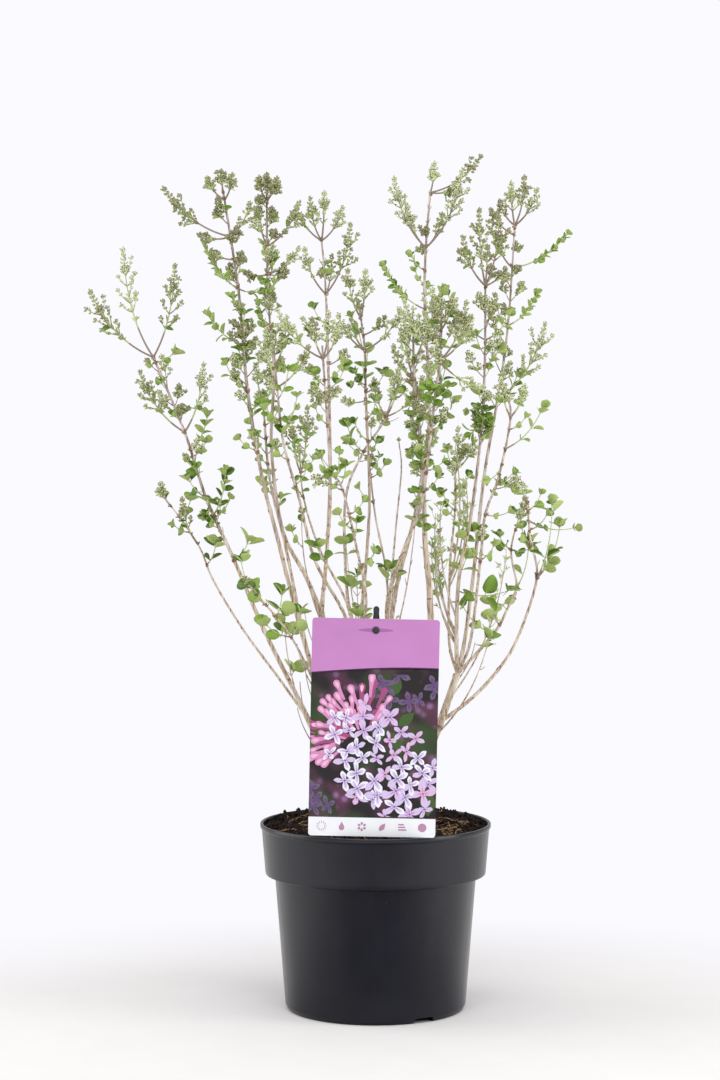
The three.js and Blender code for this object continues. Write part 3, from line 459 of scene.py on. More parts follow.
def bar_points(points, radii, sides):
    """The rings of a round bar along points. radii has one number, or one for each side, a ring."""
    forward = np.gradient(points, axis=0)
    forward /= np.linalg.norm(forward, axis=1)[:, None]
    across = square_to(forward[0])[0]
    frames = np.empty((len(points), 2, 3))
    for i, way in enumerate(forward):
        across = unit(across - across.dot(way) * way)
        frames[i] = across, np.cross(way, across)
    turn = turns(sides)
    radii = radii[:, None] if radii.ndim == 1 else radii
    rings = points[:, None] + (radii * np.cos(turn))[..., None] * frames[:, None, 0] \
        + (radii * np.sin(turn))[..., None] * frames[:, None, 1]
    return np.concatenate([rings.reshape(-1, 3), points[:1], points[-1:]])


def add_bar(growth, points, radii, sides, finish):
    """Adds a closed round bar. finish is one number, or one for each stretch between rings, or
    one for each face of each stretch."""
    quads, caps = ring_rows(len(points), sides)
    bands = finish if np.ndim(finish) == 2 else np.atleast_2d(finish).T
    bands = np.broadcast_to(bands, (len(points) - 1, sides))
    growth.add(bar_points(np.asarray(points, float), np.asarray(radii, float), sides),
               (quads, bands.ravel()), (caps, bands[[0, -1]].ravel()))


# ---- finishes ----

# A Mix node's sockets for its share and its two colours, and what makes it mix colours.
SHARE, FIRST, SECOND = 0, 6, 7
COLOURS = {"output": 2, "data_type": "RGBA"}


def add_node(tree, kind, inputs=None, output=0, **settings):
    """Adds a shader node and gives one of its outputs. An input takes a value or another's output."""
    node = tree.nodes.new(f"ShaderNode{kind}")
    for name, value in settings.items():
        setattr(node, name, value)
    for socket, value in (inputs or {}).items():
        if isinstance(value, bpy.types.NodeSocket):
            tree.links.new(value, node.inputs[socket])
        else:
            node.inputs[socket].default_value = value
    return None if output is None else node.outputs[output]


def clear_tree(owner):
    """Empties the tree of a material or the world, and gives what adds a node to it."""
    owner.use_nodes = True
    owner.node_tree.nodes.clear()
    return partial(add_node, owner.node_tree)


def open_finish(name):
    """A new material, what adds a node to it, and the place that its patterns go by."""
    finish = bpy.data.materials.new(name)
    add = clear_tree(finish)
    return finish, add, add("TexCoord", output="Object")


def close_finish(finish, height, depth, surface):
    """Ends a material in its shader, with a relief so many millimetres deep."""
    add = partial(add_node, finish.node_tree)
    relief = add("Bump", {"Height": height, "Distance": depth * MM})
    shader = add("BsdfPrincipled", {**surface, "Normal": relief})
    add("OutputMaterial", {"Surface": shader}, None)
    return finish


def moulded_polypropylene(colour, worn):
    """Injection-moulded polypropylene, charcoal: satin, with faint upright flow lines from the
    mould, a slight mottle and a few pale scuffs."""
    finish, add, place = open_finish("polypropylene_moulded")
    upright = add("Mapping", {"Vector": place, "Scale": (1, 1, 1 / 30)})
    flow = add("TexNoise", {"Vector": upright, "Scale": per_metre(6), "Detail": 3})
    mottle = add("TexNoise", {"Vector": place, "Scale": per_metre(24)})
    marks = add("TexNoise", {"Vector": place, "Scale": per_metre(3), "Detail": 4})
    rubbed = add("MapRange", {"Value": mottle, "From Min": 0.4, "From Max": 0.7, "To Max": 0.5})
    scuffed = add("MapRange", {"Value": marks, "From Min": 0.73, "From Max": 0.78, "To Max": 0.6})
    tone = add("Mix", {SHARE: rubbed, FIRST: colour, SECOND: worn}, **COLOURS)
    tone = add("Mix", {SHARE: scuffed, FIRST: tone, SECOND: shade(worn, 6)}, **COLOURS)
    gloss = add("MapRange", {
        "Value": flow, "From Min": 0.3, "From Max": 0.7, "To Min": 0.2, "To Max": 0.28})
    return close_finish(finish, flow, 0.04, {"Base Color": tone, "Roughness": gloss, "IOR": 1.49})


def milled_peat(dark, light):
    """Milled peat compost: nearly black when moist, with brown crumbs, and quite dull."""
    finish, add, place = open_finish("peat_milled")
    crumb = add("TexNoise", {"Vector": place, "Scale": per_metre(3), "Detail": 6})
    dry = add("MapRange", {"Value": crumb, "From Min": 0.5, "From Max": 0.72})
    tone = add("Mix", {SHARE: dry, FIRST: dark, SECOND: light}, **COLOURS)
    return close_finish(finish, crumb, 1.2, {"Base Color": tone, "Roughness": 0.92, "IOR": 1.35})


def dried_root(colour):
    """Dried roots and coir: straw-coloured fibres with darker bands along them."""
    finish, add, place = open_finish("root_dried")
    bands = add("TexNoise", {"Vector": place, "Scale": per_metre(4)})
    dark = add("MapRange", {"Value": bands, "From Min": 0.42, "From Max": 0.62})
    tone = add("Mix", {SHARE: dark, FIRST: colour, SECOND: shade(colour, 0.3)}, **COLOURS)
    return close_finish(finish, bands, 0.1, {"Base Color": tone, "Roughness": 0.8, "IOR": 1.45})


def printed_board(name, colour):
    """Offset-printed polypropylene board: an even ink, faintly mottled, with the slight orange
    peel of its satin laminate."""
    finish, add, place = open_finish(f"board_printed_{name}")
    cloud = add("TexNoise", {"Vector": place, "Scale": per_metre(28)})
    peel = add("TexNoise", {"Vector": place, "Scale": per_metre(1.6), "Detail": 3})
    worn = add("MapRange", {"Value": cloud, "From Min": 0.3, "From Max": 0.75, "To Max": 0.5})
    tone = add("Mix", {SHARE: worn, FIRST: colour, SECOND: shade(colour, 0.84)}, **COLOURS)
    gloss = add("MapRange", {
        "Value": peel, "From Min": 0.3, "From Max": 0.7, "To Min": 0.36, "To Max": 0.46})
    return close_finish(finish, peel, 0.01, {"Base Color": tone, "Roughness": gloss, "IOR": 1.45})


def blurred_print(dark, green, plum, haze):
    """The printed ground of the label's picture: dark greens and plums out of focus, with a few
    soft pale discs, under the same laminate."""
    finish, add, place = open_finish("board_printed_ground")
    hedge = add("TexNoise", {"Vector": place, "Scale": per_metre(36), "Detail": 1})
    bloom = add("TexNoise", {"Vector": place, "Scale": per_metre(22), "Detail": 1})
    discs = add("TexVoronoi", {"Vector": place, "Scale": per_metre(9), "Smoothness": 0.6},
                feature="SMOOTH_F1")
    leafy = add("MapRange", {"Value": hedge, "From Min": 0.44, "From Max": 0.6})
    tone = add("Mix", {SHARE: leafy, FIRST: dark, SECOND: green}, **COLOURS)
    rosy = add("MapRange", {"Value": bloom, "From Min": 0.48, "From Max": 0.66})
    tone = add("Mix", {SHARE: rosy, FIRST: tone, SECOND: plum}, **COLOURS)
    soft = add("MapRange", {
        "Value": discs, "From Min": 0.05, "From Max": 0.4, "To Min": 1, "To Max": 0})
    seen = add("Math", {0: soft, 1: rosy}, operation="MULTIPLY")
    tone = add("Mix", {SHARE: seen, FIRST: tone, SECOND: haze}, **COLOURS)
    return close_finish(finish, bloom, 0.01, {"Base Color": tone, "Roughness": 0.4, "IOR": 1.45})


def moulded_polystyrene(colour):
    """Moulded polystyrene, black: glossy, with a little dust that greys and dulls it in places."""
    finish, add, place = open_finish("polystyrene_moulded")
    dust = add("TexNoise", {"Vector": place, "Scale": per_metre(2), "Detail": 4})
    gloss = add("MapRange", {
        "Value": dust, "From Min": 0.4, "From Max": 0.7, "To Min": 0.28, "To Max": 0.5})
    tone = add("Mix", {SHARE: dust, FIRST: colour, SECOND: shade(colour, 2.5)}, **COLOURS)
    return close_finish(finish, dust, 0.02, {"Base Color": tone, "Roughness": gloss, "IOR": 1.59})


def lilac_bark(name, colour, streak, pale):
    """Lilac bark: a skin of long fibres, with darker cracks along it, silvery patches where the
    skin has weathered, and small pale pores."""
    finish, add, place = open_finish(f"bark_{name}")
    upright = add("Mapping", {"Vector": place, "Scale": (1, 1, 1 / 16)})
    fibre = add("TexNoise", {"Vector": upright, "Scale": per_metre(1.3), "Detail": 4})
    skin = add("TexNoise", {"Vector": upright, "Scale": per_metre(3.5), "Detail": 2})
    pore = add("TexNoise", {"Vector": place, "Scale": per_metre(1.3)})
    cracked = add("MapRange", {"Value": fibre, "From Min": 0.46, "From Max": 0.64})
    tone = add("Mix", {SHARE: cracked, FIRST: colour, SECOND: streak}, **COLOURS)
    weathered = add("MapRange", {"Value": skin, "From Min": 0.5, "From Max": 0.62, "To Max": 0.75})
    tone = add("Mix", {SHARE: weathered, FIRST: tone, SECOND: pale}, **COLOURS)
    open_pore = add("MapRange", {"Value": pore, "From Min": 0.68, "From Max": 0.74, "To Max": 0.6})
    tone = add("Mix", {SHARE: open_pore, FIRST: tone, SECOND: shade(pale, 1.1)}, **COLOURS)
    return close_finish(finish, fibre, 0.35, {"Base Color": tone, "Roughness": 0.8, "IOR": 1.45})


def young_skin(name, colour, roughness=0.5):
    """The skin of soft new growth: one colour a spray, waxy, with fine ribs."""
    finish, add, place = open_finish(name)
    ribs = add("TexNoise", {"Vector": place, "Scale": per_metre(0.9), "Detail": 3})
    wax = add("MapRange", {
        "Value": ribs, "From Min": 0.3, "From Max": 0.7, "To Min": roughness - 0.06,
        "To Max": roughness + 0.08})
    return close_finish(finish, ribs, 0.12, {"Base Color": colour, "Roughness": wax, "IOR": 1.42})


def leaf_skin(name, colour, roughness):
    """A young lilac leaf: one colour a spray, slightly glossy above, quilted by its fine veins."""
    finish, add, place = open_finish(f"leaf_{name}")
    veins = add("TexVoronoi", {"Vector": place, "Scale": per_metre(1.8)},
                feature="DISTANCE_TO_EDGE")
    sheen = add("MapRange", {
        "Value": veins, "From Max": 0.3, "To Min": roughness + 0.1, "To Max": roughness})
    return close_finish(finish, veins, 0.2, {"Base Color": colour, "Roughness": sheen, "IOR": 1.42})


# Round a place so far before the pot, the paper fades into the background between two distances,
# and round another glossy rays see it painted darker, a painted reflection. All are in metres.
FADE = {"before": 0.2, "start": 0.36, "end": 0.64}
PAINTED_REFLECTION = {"before": 0.27, "start": 0.34, "end": 0.12}


def studio_paper(colour, glow, painted_room):
    """Matt studio paper, warm white under the pot and fading into the bright background. Its near end
    is painted darker in glossy rays only: a painted reflection of a dim surround for the pot's front."""
    finish, add, place = open_finish("paper_matt")
    tooth = add("TexNoise", {"Vector": place, "Scale": per_metre(40), "Detail": 3})
    paper = add("Mix", {SHARE: tooth, FIRST: colour, SECOND: shade(colour, 0.95)}, **COLOURS)
    middle = add("Mapping", {"Vector": place, "Location": (0, FADE["before"], 0)})
    away = add("VectorMath", {0: middle}, "Value", operation="LENGTH")
    seen = add("LightPath", output="Is Camera Ray")
    # Painted reflection: near the pot's front, glossy rays see the paper in the darker painted colour.
    before = add("Mapping", {"Vector": place, "Location": (0, PAINTED_REFLECTION["before"], 0)})
    reach = add("VectorMath", {0: before}, "Value", operation="LENGTH")
    nearby = add("MapRange", {"Value": reach, "From Min": PAINTED_REFLECTION["start"], "From Max": PAINTED_REFLECTION["end"]})
    mirrored = add("LightPath", output="Is Glossy Ray")
    painted_reflection_share = add("Math", {0: nearby, 1: mirrored}, operation="MULTIPLY")
    paper = add("Mix", {SHARE: painted_reflection_share, FIRST: paper, SECOND: painted_room}, **COLOURS)
    matt = add("BsdfPrincipled", {"Base Color": paper, "Roughness": 0.8, "IOR": 1.3})
    fading = add("MapRange", {"Value": away, "From Min": FADE["start"], "From Max": FADE["end"]},
                 interpolation_type="SMOOTHSTEP")
    share = add("Math", {0: fading, 1: seen}, operation="MULTIPLY")
    light = add("Emission", {"Color": glow})
    surface = add("MixShader", {0: share, 1: matt, 2: light})
    add("OutputMaterial", {"Surface": surface}, None)
    return finish


# ---- sizes and colours that a user would change ----


def size(name, description, metres):
    """A length that the user can change."""
    return FloatProperty(name=name, description=description, default=metres, min=0,
                         unit="LENGTH", subtype="DISTANCE")


def tint(name, description, code):
    """A colour that the user can change."""
    return FloatVectorProperty(name=name, description=description, size=4, min=0, max=1,
                               subtype="COLOR", default=to_linear(code))


def tally(name, description, number):
    """A count that the user can change."""
    return IntProperty(name=name, description=description, default=number, min=3,
                       subtype="UNSIGNED")


class PotSettings(bpy.types.PropertyGroup):
    """The pot's sizes and colours."""
    rim_radius: size("Rim radius", "Outer radius of the rim", 0.095)
    height: size("Height", "From the ground to the rim's top", 0.1535)
    sides: tally("Sides", "Faces round the pot", 160)
    colour: tint("Colour", "The moulded plastic", "#10111a")
    worn: tint("Worn colour", "Where it is rubbed paler", "#1a1b27")


class SoilSettings(bpy.types.PropertyGroup):
    """The compost's bits and colours."""
    crumbs: tally("Crumbs", "Loose crumbs of peat", 1400)
    fibres: tally("Fibres", "Dry roots on the surface", 58)
    relief: size("Relief", "Height of the lumps in the surface", 0.005)
    dark: tint("Dark", "Moist peat", "#170e0b")
    light: tint("Light", "Dry crumbs", "#40291d")
    root: tint("Roots", "Dry root fibres", "#b38d62")


class LabelSettings(bpy.types.PropertyGroup):
    """The picture label's colours."""
    header: tint("Header", "The plain band at the top", "#c283bf")
    shadow: tint("Shadow", "The shaded slot round the hanging knob", "#a468a4")
    line: tint("Line", "The thin line under the band", "#4a2a50")
    board: tint("Board", "The bare board and the strip at the foot", "#eef1f4")
    ground_dark: tint("Ground dark", "The picture's darkest ground", "#1c1518")
    ground_green: tint("Ground green", "Blurred leaves in the picture", "#344823")
    ground_plum: tint("Ground plum", "Blurred blossom in the picture", "#5a2f49")
    ground_haze: tint("Ground haze", "Pale discs out of focus", "#8f6f97")
    white: tint("White petals", "The florets' palest petals", "#ecebf8")
    lilac: tint("Lilac petals", "The florets' shaded petals", "#d2c2e6")
    blush: tint("Blush petals", "The pinkest petals", "#dab6dc")
    mauve: tint("Mauve petals", "Petals in the shade and throats", "#b193cb")
    shade: tint("Shade", "Florets in the shade behind", "#6b587a")
    dusk: tint("Dusk", "Their petals' middles", "#584566")
    eye: tint("Eyes", "The florets' middles", "#6b3f86")
    pink: tint("Pink buds", "Closed florets and their tubes", "#d48cba")
    gleam: tint("Gleams", "The light on the closed florets", "#ecb8d6")
    rose: tint("Rose tubes", "Tubes in the shade", "#a24a7d")
    leaf: tint("Leaves", "Leaves among the florets", "#3f5c26")
    icons: tint("Icons", "The small plain shapes on the strip", "#b788aa")
    holder: tint("Holder", "The stake and knob behind the card", "#151518")


class WoodSettings(bpy.types.PropertyGroup):
    """The bark's colours and relief."""
    old: tint("Old bark", "Lower stems", "#c9b9a4")
    old_streak: tint("Old streaks", "Cracks in the old bark", "#8c6f57")
    old_pale: tint("Old pale patches", "Weathered skin of the old bark", "#e2d8ca")
    middle: tint("Middle bark", "The wands' lower half", "#bbab9c")
    middle_streak: tint("Middle streaks", "Cracks in the middle bark", "#7d6859")
    middle_pale: tint("Middle pale patches", "Silvery skin of the middle bark", "#dcd3ca")
    young: tint("Young bark", "Last year's wood", "#b3a598")
    young_streak: tint("Young streaks", "Cracks in last year's bark", "#78675e")
    young_pale: tint("Young pale patches", "Silvery skin of last year's bark", "#dcd4cd")
    scar: tint("Leaf scars", "Swollen joints and bud scales", "#8f7156")
    relief: FloatProperty(name="Relief", description="Depth of the ribs as a share of the radius",
                          default=0.06, min=0, max=0.3, subtype="FACTOR")


class HeadSettings(bpy.types.PropertyGroup):
    """The colours and sizes of flower arms, buds and leaves."""
    arm: tint("Flower arms", "Stalks of the panicles", "#948374")
    shoot: tint("Green stalks", "Soft new stalks", "#b9c389")
    bud: tint("Buds", "Flower buds in their green calyx", "#b1b585")
    bud_pale: tint("Pale buds", "Buds in the lighter sprays", "#cad1a4")
    bud_dusky: tint("Dusky buds", "Buds in the darker sprays", "#a1a177")
    bud_tip: tint("Bud tips", "The dark closed tips", "#5d4d43")
    leaf_fresh: tint("Fresh leaves", "Leaves in the brighter sprays", "#8fb146")
    leaf_mid: tint("Leaves", "Most of the leaves", "#739432")
    leaf_deep: tint("Deep leaves", "Leaves in the darker sprays", "#567822")
    leaf_back: tint("Leaf backs", "The paler undersides", "#a6ba6c")
    leaflet: tint("Leaflets", "Small folded leaves on the flower arms", "#9db766")
    leaflet_pale: tint("Pale leaflets", "The same in the lighter sprays", "#c8d79d")
    leaf_length: size("Leaf length", "A middling leaf", 0.0115)
    bud_length: size("Bud length", "One closed bud", 0.003)


class StageSettings(bpy.types.PropertyGroup):
    """Floor, lights and camera."""
    paper: tint("Paper", "The floor under the pot", "#f5f2f0")
    backdrop: tint("Backdrop", "The bright background", "#fafaff")
    # The paper's painted reflection: the darker colour that glossy rays see near the pot's front.
    painted_room: tint("Room", "The darker room before the table", "#868689")
    daylight: FloatProperty(name="Daylight", description="Strength of the light from all round",
                            default=0.6, min=0, subtype="FACTOR")
    focal_length: FloatProperty(name="Focal length", description="The camera's lens",
                                default=94.8, min=10, subtype="DISTANCE_CAMERA", unit="CAMERA")
    distance: size("Distance", "From the pot's axis to the camera", 2.332)
    eye_height: size("Eye height", "The camera above the floor", 0.498)
    pitch: FloatProperty(name="Pitch", description="How far the camera looks down",
                         default=math.radians(2.74), subtype="ANGLE", unit="ROTATION")


# ---- pot ----


def lathe(growth, profile, sides, finish):
    """Adds a closed solid of revolution about Z, whose profile goes up outside and down inside."""
    radii, heights = np.array(profile).T[..., None]
    ends = [(0, 0, heights[0][0]), (0, 0, heights[-1][0])]
    growth.add_rings(level_rings(radii, heights, sides), ends, finish)


def pot_profile(pot):
    """The pot's section from the middle of its underside over the rim to its floor, in metres."""
    rim, top = pot.rim_radius, pot.height
    # Each corner is a radius, a height and how much it is rounded.
    sharp = [
        (0.070, 0.0, 0), (0.0722, 0.0, 0.0008), (0.0745, 0.004, 0.0012), (0.0829, 0.1100, 0.0006),
        (0.0907, 0.1118, 0.0006), (0.0911, 0.116, 0.0006), (rim - 0.0012, top - 0.0042, 0.0006),
        (rim, top - 0.0034, 0.0006), (rim, top, 0.0008), (rim - 0.0024, top, 0.0008),
        (rim - 0.0034, top - 0.004, 0.0006), (0.0894, 0.1176, 0.0006), (0.0814, 0.1121, 0.0006),
        (0.0729, 0.0064, 0.0004), (0.0704, 0.0024, 0)]
    profile = []
    for i, (radius, height, rounding) in enumerate(sharp):
        corner = np.array((radius, height))
        if rounding == 0:
            profile.append(corner)
            continue
        before, after = (np.array(sharp[i + step][:2]) for step in (-1, 1))
        bend = Bow(corner + unit(before - corner) * rounding, corner,
                   corner + unit(after - corner) * rounding)
        profile.extend(bend.at(np.linspace(0, 1, 4)))
    return profile


# The drainage notches in the foot's edge: their bearings, what they span along the radius, and
# half their width and height.
DRAINS = {"bearings": (-58, 62, 182), "reach": (0.063, 0.095), "half_width": 9.3, "half_height": 4.2}


def cut_drain(pot, bearing):
    """Cuts a drainage notch into the foot's edge."""
    out = heading(bearing, 0)
    across = np.array((-out[1], out[0], 0))
    corners = [(-1, -1), (1, -1), (1, 0.7), (0.8, 1), (-0.8, 1), (-1, 0.7)]
    section = [across * x * DRAINS["half_width"] * MM
               + np.array((0, 0, 1)) * z * DRAINS["half_height"] * MM for x, z in corners]
    growth = Growth()
    ends = [out * reach for reach in DRAINS["reach"]]
    growth.add_rings([[end + point for point in section] for end in ends], ends, 0)
    notch = growth.piece("drain_cutter", [], None)
    cut = pot.modifiers.new("drain", "BOOLEAN")
    cut.object = notch
    cut.solver = "EXACT"
    seen = pot.evaluated_get(bpy.context.evaluated_depsgraph_get())
    mesh = bpy.data.meshes.new_from_object(seen)
    pot.modifiers.clear()
    pot.data = mesh
    bpy.data.objects.remove(notch)


def build_pot(pot):
    """The pot, in place of its CAD solid."""
    growth = Growth()
    lathe(growth, pot_profile(pot), pot.sides, 0)
    made = growth.piece("nursery_pot", [moulded_polypropylene(pot.colour, pot.worn)], "pot")
    for bearing in DRAINS["bearings"]:
        cut_drain(made, bearing)
    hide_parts("pot")


# ---- soil ----

SOIL_WALL = 90.8  # the compost's radius at the top, where it meets the pot

# In metres: the radius from which the surface falls to the wall, how far that runs and falls, and
# how much it rises again towards the back wall.
HEAP = {"from": 0.04, "run": 0.05, "fall": 0.003, "bank": 0.0052}
LUMPS = (90, 260, 640)  # how many large, middling and small lumps there are to a metre


def soil_height(x, y, relief):
    """The compost's surface: lower at the front wall, banked at the back, and lumpy all over."""
    large, middling, small = LUMPS
    edge = max(0, math.hypot(x, y) - HEAP["from"]) / HEAP["run"]
    heap = SOIL_TOP * MM - HEAP["fall"] * edge + HEAP["bank"] * edge * max(0, y + 0.02) / 0.11
    lumps = noise.noise(Vector((x, y, 0)) * large) + 0.6 * noise.noise(Vector((x, y, 3)) * middling)
    fine = 0.35 * noise.noise(Vector((x, y, 7)) * small)
    return heap + relief * (0.55 * lumps + fine - 0.25)


def lay_crumbs(growth, soil, dice):
    """Loose crumbs, every fifth in a low bank against the back of the rim."""
    for i in range(soil.crumbs):
        banked = i % 5 == 0
        away = dice.uniform(0.86, 0.99) if banked else math.sqrt(dice.uniform(0.03, 0.97))
        turn = math.radians(dice.uniform(-5, 195)) if banked else dice.uniform(0, 2 * math.pi)
        x, y = (SOIL_WALL * MM * away * part for part in (math.cos(turn), math.sin(turn)))
        reach = dice.uniform(0.7, 2.8) * MM
        lift = dice.uniform(0, 2.5) * MM * dice.random() if banked else -0.2 * reach
        at = np.array((x, y, soil_height(x, y, soil.relief) + lift))
        rings = at + np.outer(np.linspace(-1, 1, 4), unit(dice.normal(size=3)) * reach)
        add_bar(growth, rings, reach * dice.uniform(0.35, 1, (4, 4)), 4, 0)


def lay_fibres(growth, soil, dice):
    """Dry roots that curl over the compost in low arches."""
    for _ in range(soil.fibres):
        away, turn = 0.93 * math.sqrt(dice.uniform(0.1, 1)), dice.uniform(0, 2 * math.pi)
        place = SOIL_WALL * MM * away * np.array((math.cos(turn), math.sin(turn)))
        facing, bend = dice.uniform(0, 2 * math.pi), dice.uniform(-0.5, 0.5)
        steps, arch = int(dice.integers(9, 26)), dice.uniform(0.5, 5) * MM
        points = []
        for step in range(steps):
            if np.hypot(*place) > (SOIL_WALL - 2) * MM:
                break
            lift = 0.3 * MM + arch * math.sin(math.pi * step / (steps - 1)) ** 2
            points.append((*place, soil_height(*place, soil.relief) + lift))
            facing += bend + dice.uniform(-0.3, 0.3)
            place = place + 1.7 * MM * np.array((math.cos(facing), math.sin(facing)))
        if len(points) > 3:
            smooth = Spline(points).at(np.linspace(0, 1, 2 * len(points)))
            add_bar(growth, smooth, np.linspace(0.42, 0.18, len(smooth)) * MM, 5, 0)


def build_soil(soil):
    """The compost with its crumbs, in place of its CAD solid, and the roots on it."""
    rings, sides, depth = 44, 150, 0.02
    spread = np.linspace(1, 0.012, rings)[:, None] * SOIL_WALL * MM
    flat = level_rings(spread, 0, sides).reshape(-1, 3)
    top = np.array([(x, y, soil_height(x, y, soil.relief)) for x, y, _ in flat])
    skirt = top[:sides] * (0.985, 0.985, 1) - (0, 0, depth)
    middle = [(0, 0, skirt[0][2]), (0, 0, soil_height(0, 0, soil.relief))]
    growth = Growth()
    growth.add_rings(np.concatenate([skirt, top]).reshape(-1, sides, 3), middle, 0)
    dice = np.random.default_rng(7)
    lay_crumbs(growth, soil, dice)
    made = growth.piece("peat_compost", [milled_peat(soil.dark, soil.light)], "soil", False)
    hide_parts("soil")
    fibres = Growth()
    lay_fibres(fibres, soil, dice)
    fibres.piece("root_fibres", [dried_root(soil.root)], "soil")


# ---- label ----

CARD = {"width": 101, "height": 173.5, "thickness": 0.8, "corner": 2.4, "hole_drop": 9,
        "centre_x": -3.6, "bottom": 154.6, "front": -86, "lean": 1.2}
# The right half of the stake's outline below its round top, as (across, up), and the knob that
# holds the card, as (how far behind the card's face, radius).
STAKE = {"half": [(1.5, -35.6), (3.2, -23.6), (3.2, 169.4), (2.3, 176.4), (1.656, 177.8), (2.3, 179.8)],
         "top": (0, 181), "top_radius": 2.4, "thickness": 2, "behind": 1.1}
KNOB = [(-2.4, 0.9), (-2.3, 1.7), (-2.1, 2.4), (-1.6, 2.9), (-1.3, 3.0), (-1.25, 1.8), (1.2, 1.8)]
STRIP_TOP = 15  # the white strip's height on the card
ICON_LEVEL = 7.8  # the height of the icons' middles on it
# Where the icons stand across the card: their middles, but the left end of the leaf and the bars.
ICONS = {"sun": -40, "drop": -24, "beads": -8, "leaf": 6, "bars": 21, "disc": 40}
HEADER_FOOT = 130.5  # where the header's curved edge starts at the card's left side
INK = 0.1  # the printed shapes stand so far proud of the board, as thin raised layers

# Half a petal's, a tube's and a leaf's outline, one long: (along, out).
PETAL = [(0, 0.06), (0.2, 0.15), (0.45, 0.24), (0.68, 0.25), (0.86, 0.15), (1, 0.01)]
INNER = [(0, 0.06), (0.25, 0.12), (0.45, 0.14), (0.62, 0.09), (0.72, 0.01)]
STREAK = [(0.05, 0.04), (0.2, 0.07), (0.35, 0.03), (0.45, 0.01)]
TUBE = [(0, 0.05), (0.4, 0.07), (0.62, 0.1), (0.78, 0.15), (0.9, 0.15), (0.97, 0.09), (1, 0.02)]
GLEAM = [(0.6, 0.01), (0.7, 0.06), (0.85, 0.08), (0.93, 0.01)]
BLADE = [(0, 0.02), (0.2, 0.2), (0.45, 0.28), (0.7, 0.2), (1, 0.01)]
# The inks of a floret's petals in turn, of their middles, and of its throat.
FLORETS = [
    (("white",), "lilac", "mauve"), (("white", "white", "lilac"), "lilac", "mauve"),
    (("lilac", "white"), "lilac", "mauve"), (("lilac",), "blush", "mauve"),
    (("blush", "lilac"), "blush", "pink"),
]


def slab(growth, outline, front, finish, thickness=INK):
    """A flat piece with the given outline, (across, up) in mm, its face so far before the card."""
    outline = np.asarray(outline, float)
    layers = [np.column_stack([outline[:, 0], np.full(len(outline), depth), outline[:, 1]])
              for depth in (-front, thickness - front)]
    ends = np.array([layer.mean(axis=0) for layer in layers])
    growth.add_rings(np.array(layers) * MM, ends * MM, finish)


def arc(middle, radius, start, end, steps):
    """Points on an arc between two angles in degrees."""
    turn = np.radians(np.linspace(start, end, steps))
    return [(middle[0] + radius * math.cos(t), middle[1] + radius * math.sin(t)) for t in turn]


def card_outline(low, high):
    """The card between two heights, with round corners where it ends. A low edge over the strip
    is the header's, which rises from the left in a shallow curve."""
    half, corner = CARD["width"] / 2, CARD["corner"]
    if low == 0:
        foot = arc((-half + corner, corner), corner, 180, 270, 7) \
            + arc((half - corner, corner), corner, 270, 360, 7)
    elif low < HEADER_FOOT - 5:
        foot = [(-half, low), (half, low)]
    else:
        shares = np.linspace(0, 1, 17)
        foot = [(half * (2 * s - 1), low + 5 * math.sin(1.9 * s)) for s in shares]
    if high < CARD["height"]:
        return foot + [(half, high), (-half, high)]
    return foot + arc((half - corner, high - corner), corner, 0, 90, 7) \
        + arc((-half + corner, high - corner), corner, 90, 180, 7)


def printed(half, at, reach, turn, tilt=1.0, tilt_way=0.0):
    """A symmetric shape from half its outline, placed on the card and seen tilted."""
    shape = [(a, w) for a, w in half] + [(a, -w) for a, w in reversed(half)]
    away = np.array(shape) * reach
    cos, sin = math.cos(turn), math.sin(turn)
    away = away @ np.array([(cos, sin), (-sin, cos)])
    way = np.array((math.cos(tilt_way), math.sin(tilt_way)))
    away = away - np.outer(away @ way, way) * (1 - tilt)
    return away + at


def oval(at, long, wide, turn, steps):
    """An ellipse's outline, from its middle, its half axes and its turn."""
    angles = np.linspace(0, 2 * math.pi, steps, endpoint=False)
    away = np.stack([long * np.cos(angles), wide * np.sin(angles)], axis=-1)
    cos, sin = math.cos(turn), math.sin(turn)
    return away @ np.array([(cos, sin), (-sin, cos)]) + at


def floret(at, reach, dice, petals, inner, throat):
    """The shapes of one four-petalled floret, each as outline, place, reach, turn, tilt and ink."""
    spin, tilt, tilt_way = dice.uniform(0, 1.5), dice.uniform(0.6, 1), dice.uniform(0, 3.1)
    shapes = []
    for petal in range(4):
        way = spin + petal * math.pi / 2 + dice.uniform(-0.15, 0.15)
        long = reach * dice.uniform(0.85, 1.05)
        shapes.append((PETAL, at, long, way, tilt, tilt_way, petals[petal % len(petals)]))
        shapes.append((INNER, at, long, way, tilt, tilt_way, inner))
        shapes.append((STREAK, at, long, way, tilt, tilt_way, throat))
    return shapes


# The truss of florets in the picture, and the closed buds behind its upper end.
TRUSS = {"florets": 44, "middle": (7, 58), "half_length": 54, "half_width": 36}
CLOSED = {"buds": 64, "middle": (-8, 78), "in_shade": 28, "without_gleam": 20}
GOLDEN_TURN = 2.39996  # from one floret to the next, which spreads them evenly
LOWEST_LAYER = 0.16  # the first shape stands so far proud of the card
LAYER_RISE = 0.0009  # and each further one so much more, so that none share a face


